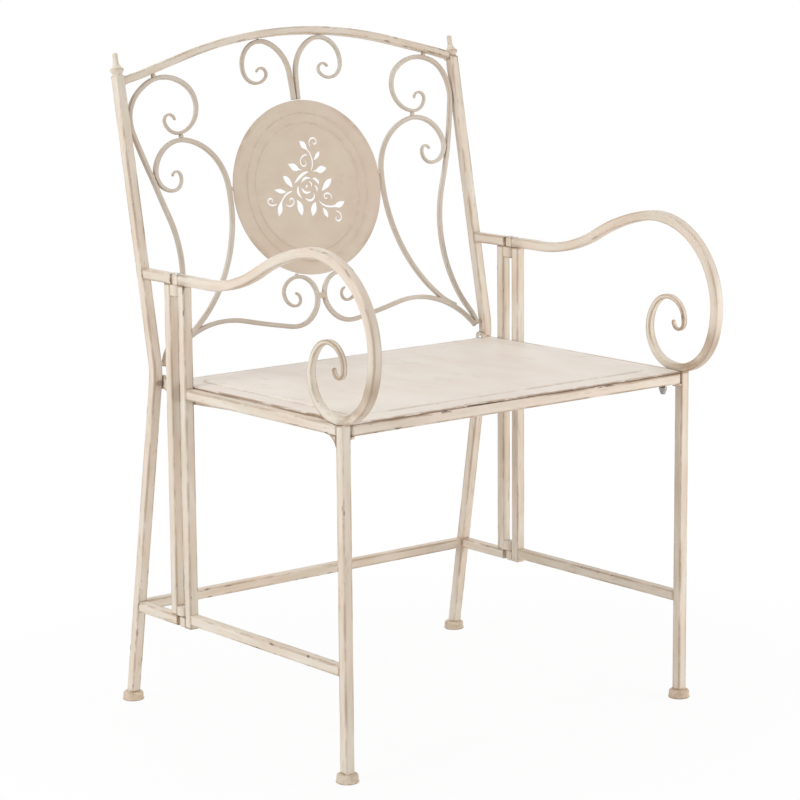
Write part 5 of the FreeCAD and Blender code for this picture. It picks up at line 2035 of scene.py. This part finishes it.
@dataclass
class FrameWelds:
    """The weld beads round the ends of the straight tubes."""

    effects: Effects
    seam: WeldSeam = WeldSeam()
    cut: float = 0.75
    arch_spring: float = 390.4
    arch_half: Pair = (5.2, 6.5)
    post_gap: float = 272.0
    lean: float = 10.9
    splay: float = -9.33

    def loop(self, draft: MeshDraft, middle: Vector, first: Vector, other: Vector,
             half: Pair, seed: float) -> None:
        """Lay a bead round a tube's end, where it meets the face of another.

        Args:
            draft: The mesh.
            middle: The middle of the meeting face, in metres.
            first: One direction along that face.
            other: The other one.
            half: The tube's half sides along them, in millimetres.
            seed: What makes the bead its own.
        """
        path = [middle + (first * half[0] * a + other * half[1] * b) * MM
                for a, b in ((1, self.cut), (1, -self.cut), (self.cut, -1), (-self.cut, -1),
                             (-1, -self.cut), (-1, self.cut), (-self.cut, 1), (self.cut, 1))]
        self.seam.lay(draft, path, seed)

    def side_frame(self, side: Side) -> bpy.types.Object:
        """Lay the beads at both ends of a side frame's two rails.

        Args:
            side: Which side.

        Returns:
            The piece.
        """
        draft = MeshDraft()
        for stem in ("side_stretcher", "seat_side_rail"):
            low, high, middle = node_box(f"{stem}_{side.value}")
            half = ((high.z - low.z) / 2 / MM, (high.x - low.x) / 2 / MM)
            for end in (low.y, high.y):
                self.loop(draft, Vector((middle.x, end, middle.z)), Vector((0, 0, 1)),
                          Vector((1, 0, 0)), half, middle.z * 40 + end * 9 + side.sign)
        thing = draft.finish(f"side_frame_welds_{side.value}")
        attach(thing, side.body)
        return thing

    def back_frame(self, plane: Plane) -> bpy.types.Object:
        """Lay the beads of the stubs, the rear stretcher and the arch.

        Args:
            plane: The scrollwork's plane.

        Returns:
            The piece.
        """
        draft = MeshDraft()
        for side in Side:
            for stem, slope in (("upper_stub", self.lean), ("lower_stub", self.splay)):
                low, high, middle = node_box(f"{stem}_{side.value}")
                half = ((high.z - low.z) / 2 / MM, (high.x - low.x) / 2 / MM)
                tilt = math.tan(math.radians(slope))
                end = high.y - abs(tilt) * half[0] * MM
                self.loop(draft, Vector((middle.x, end, middle.z)), Vector((0, tilt, 1)),
                          Vector((1, 0, 0)), half, slope + side.sign)
            low, high, middle = node_box("rear_stretcher")
            half = ((high.z - low.z) / 2 / MM, (high.y - low.y) / 2 / MM)
            end = high.x if side is Side.RIGHT else low.x
            self.loop(draft, Vector((end, middle.y, middle.z)), Vector((0, 0, 1)),
                      Vector((0, 1, 0)), half, 3.0 * side.sign)
            spot = plane.at(Vector((self.post_gap, self.arch_spring, 0.0)), side.sign)
            self.loop(draft, spot, plane.up, plane.normal, self.arch_half, 5.0 * side.sign)
        thing = draft.finish("back_frame_welds")
        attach(thing, "back_frame")
        return thing

    def build(self, plane: Plane) -> None:
        """Lay all the beads.

        Args:
            plane: The scrollwork's plane.
        """
        for thing in [self.back_frame(plane)] + [self.side_frame(side) for side in Side]:
            dress(thing, WELD_PAINT.material(self.effects, Run.ROUND))
            log.info("made %s", thing.name)


# Stage

@dataclass(frozen=True)
class Lamp:
    """One soft square lamp: its side is in metres and its power in watts."""

    name: str
    place: Triple
    target: Triple
    side: float
    power: float
    colour: Colour = (1.0, 1.0, 1.0)

    def hang(self) -> None:
        """Hang the lamp and aim it at its target."""
        data = bpy.data.lights.new(self.name, "AREA")
        data.shape = "SQUARE"
        data.size = self.side
        data.energy = self.power
        data.color = self.colour
        thing = put(self.name, data)
        thing.location = self.place
        aim = Vector(self.target) - Vector(self.place)
        thing.rotation_euler = aim.to_track_quat("-Z", "Y").to_euler()


@dataclass
class Stage:
    """The pale floor, the soft lights and the camera."""

    camera_place: Triple = (-2.2639, -2.7840, 1.0641)
    focal_pixels: float = 2811.6
    frame_pixels: float = 800.0
    yaw: float = 0.67747
    pitch: float = 0.18149
    roll: float = -0.008526
    sensor: float = 36.0
    farthest: float = 200.0
    surround: float = 0.40
    floor_radius: float = 40.0
    floor_sides: int = 64
    floor_colour: Colour = (0.86, 0.85, 0.84)
    floor_roughness: float = 0.9
    floor_specular: float = 0.1
    shadow_reach: float = 0.30
    white_reach: float = 0.95
    near_white: float = 0.93
    lamps: tuple[Lamp, ...] = (
        Lamp("key", (-3.2, 0.1, 2.2), (0.0, 0.0, 0.45), 2.0, 72.0, (0.97, 0.985, 1.0)),
        Lamp("top", (0.2, 0.9, 3.4), (0.0, 0.0, 0.4), 2.4, 30.0),
        Lamp("fill", (1.5, -1.6, 0.45), (0.15, 0.0, 0.35), 1.4, 27.0, (1.0, 0.98, 0.95)))

    def camera(self) -> None:
        """Set the camera up as it stood for the photograph."""
        data = bpy.data.cameras.new("photo_camera")
        data.sensor_width = self.sensor
        data.lens = self.focal_pixels / self.frame_pixels * self.sensor
        data.clip_end = self.farthest
        thing = put("photo_camera", data)
        thing.matrix_world = (Matrix.Translation(self.camera_place)
                              @ Matrix.Rotation(-self.yaw, 4, "Z")
                              @ Matrix.Rotation(math.pi / 2 - self.pitch, 4, "X")
                              @ Matrix.Rotation(self.roll, 4, "Z"))
        bpy.context.scene.camera = thing

    def pale_rays(self, board: Board) -> Socket:
        """Tell camera, mirror and glass rays from the rest.

        Args:
            board: The shader's board.

        Returns:
            1 on those rays.
        """
        path = board.add("ShaderNodeLightPath")
        seen = board.maths("ADD", path.outputs["Is Camera Ray"], path.outputs["Is Glossy Ray"],
                           True)
        return board.maths("ADD", seen, path.outputs["Is Transmission Ray"], True)

    def world(self) -> None:
        """Make an even pale surround, which shows white behind the chair."""
        world = bpy.data.worlds.new("studio")
        bpy.context.scene.world = world
        world.use_nodes = True
        board = Board(world.node_tree)
        back = world.node_tree.nodes["Background"]
        back.inputs["Color"].default_value = (1.0, 1.0, 1.0, 1.0)
        strength = board.ramp(self.pale_rays(board), 0.0, 1.0, self.surround, 1.0)
        board.feed(back.inputs["Strength"], strength)

    def floor(self) -> None:
        """Lay a wide pale floor that keeps the chair's soft shadow."""
        draft = MeshDraft()
        draft.cap(draft.circle(Vector((0.0, 0.0, 0.0)), self.floor_radius, self.floor_sides))
        thing = draft.finish("studio_floor")
        material, board, shader = blank_material("studio_floor")
        board.feed(shader.inputs["Base Color"], self.floor_colour)
        shader.inputs["Roughness"].default_value = self.floor_roughness
        shader.inputs["Specular IOR Level"].default_value = self.floor_specular
        white = board.add("ShaderNodeEmission")
        white.inputs["Strength"].default_value = 1.0
        place = board.add("ShaderNodeTexCoord").outputs["Object"]
        reach = board.add("ShaderNodeVectorMath", operation="LENGTH")
        board.feed(reach.inputs[0], place)
        share = board.ramp(reach.outputs["Value"], self.shadow_reach, self.white_reach,
                           self.near_white, 1.0)
        mixed = board.add("ShaderNodeMixShader")
        board.feed(mixed.inputs[0], board.times(self.pale_rays(board), share))
        board.feed(mixed.inputs[1], shader.outputs["BSDF"])
        board.feed(mixed.inputs[2], white.outputs["Emission"])
        output = material.node_tree.nodes["Material Output"]
        board.feed(output.inputs["Surface"], mixed.outputs[0])
        dress(thing, material)

    def build(self) -> None:
        """Set up the whole stage."""
        bpy.context.scene.view_settings.view_transform = "Standard"
        self.camera()
        self.world()
        self.floor()
        for lamp in self.lamps:
            lamp.hang()
        log.info("set the stage")


def main() -> None:
    """Build the chair's pieces in order, then the stage."""
    logging.basicConfig(level=logging.INFO, format="%(message)s")
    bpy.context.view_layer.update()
    effects = Effects()
    BackFrame(effects).build()
    panel = BackPanel(effects)
    panel.build()
    SideFrames(effects).build()
    Seat(effects).build()
    LockKnob(effects).build()
    FrameWelds(effects).build(panel.plane())
    Stage().build()
    bpy.context.view_layer.update()


if __name__ == "__main__":
    main()
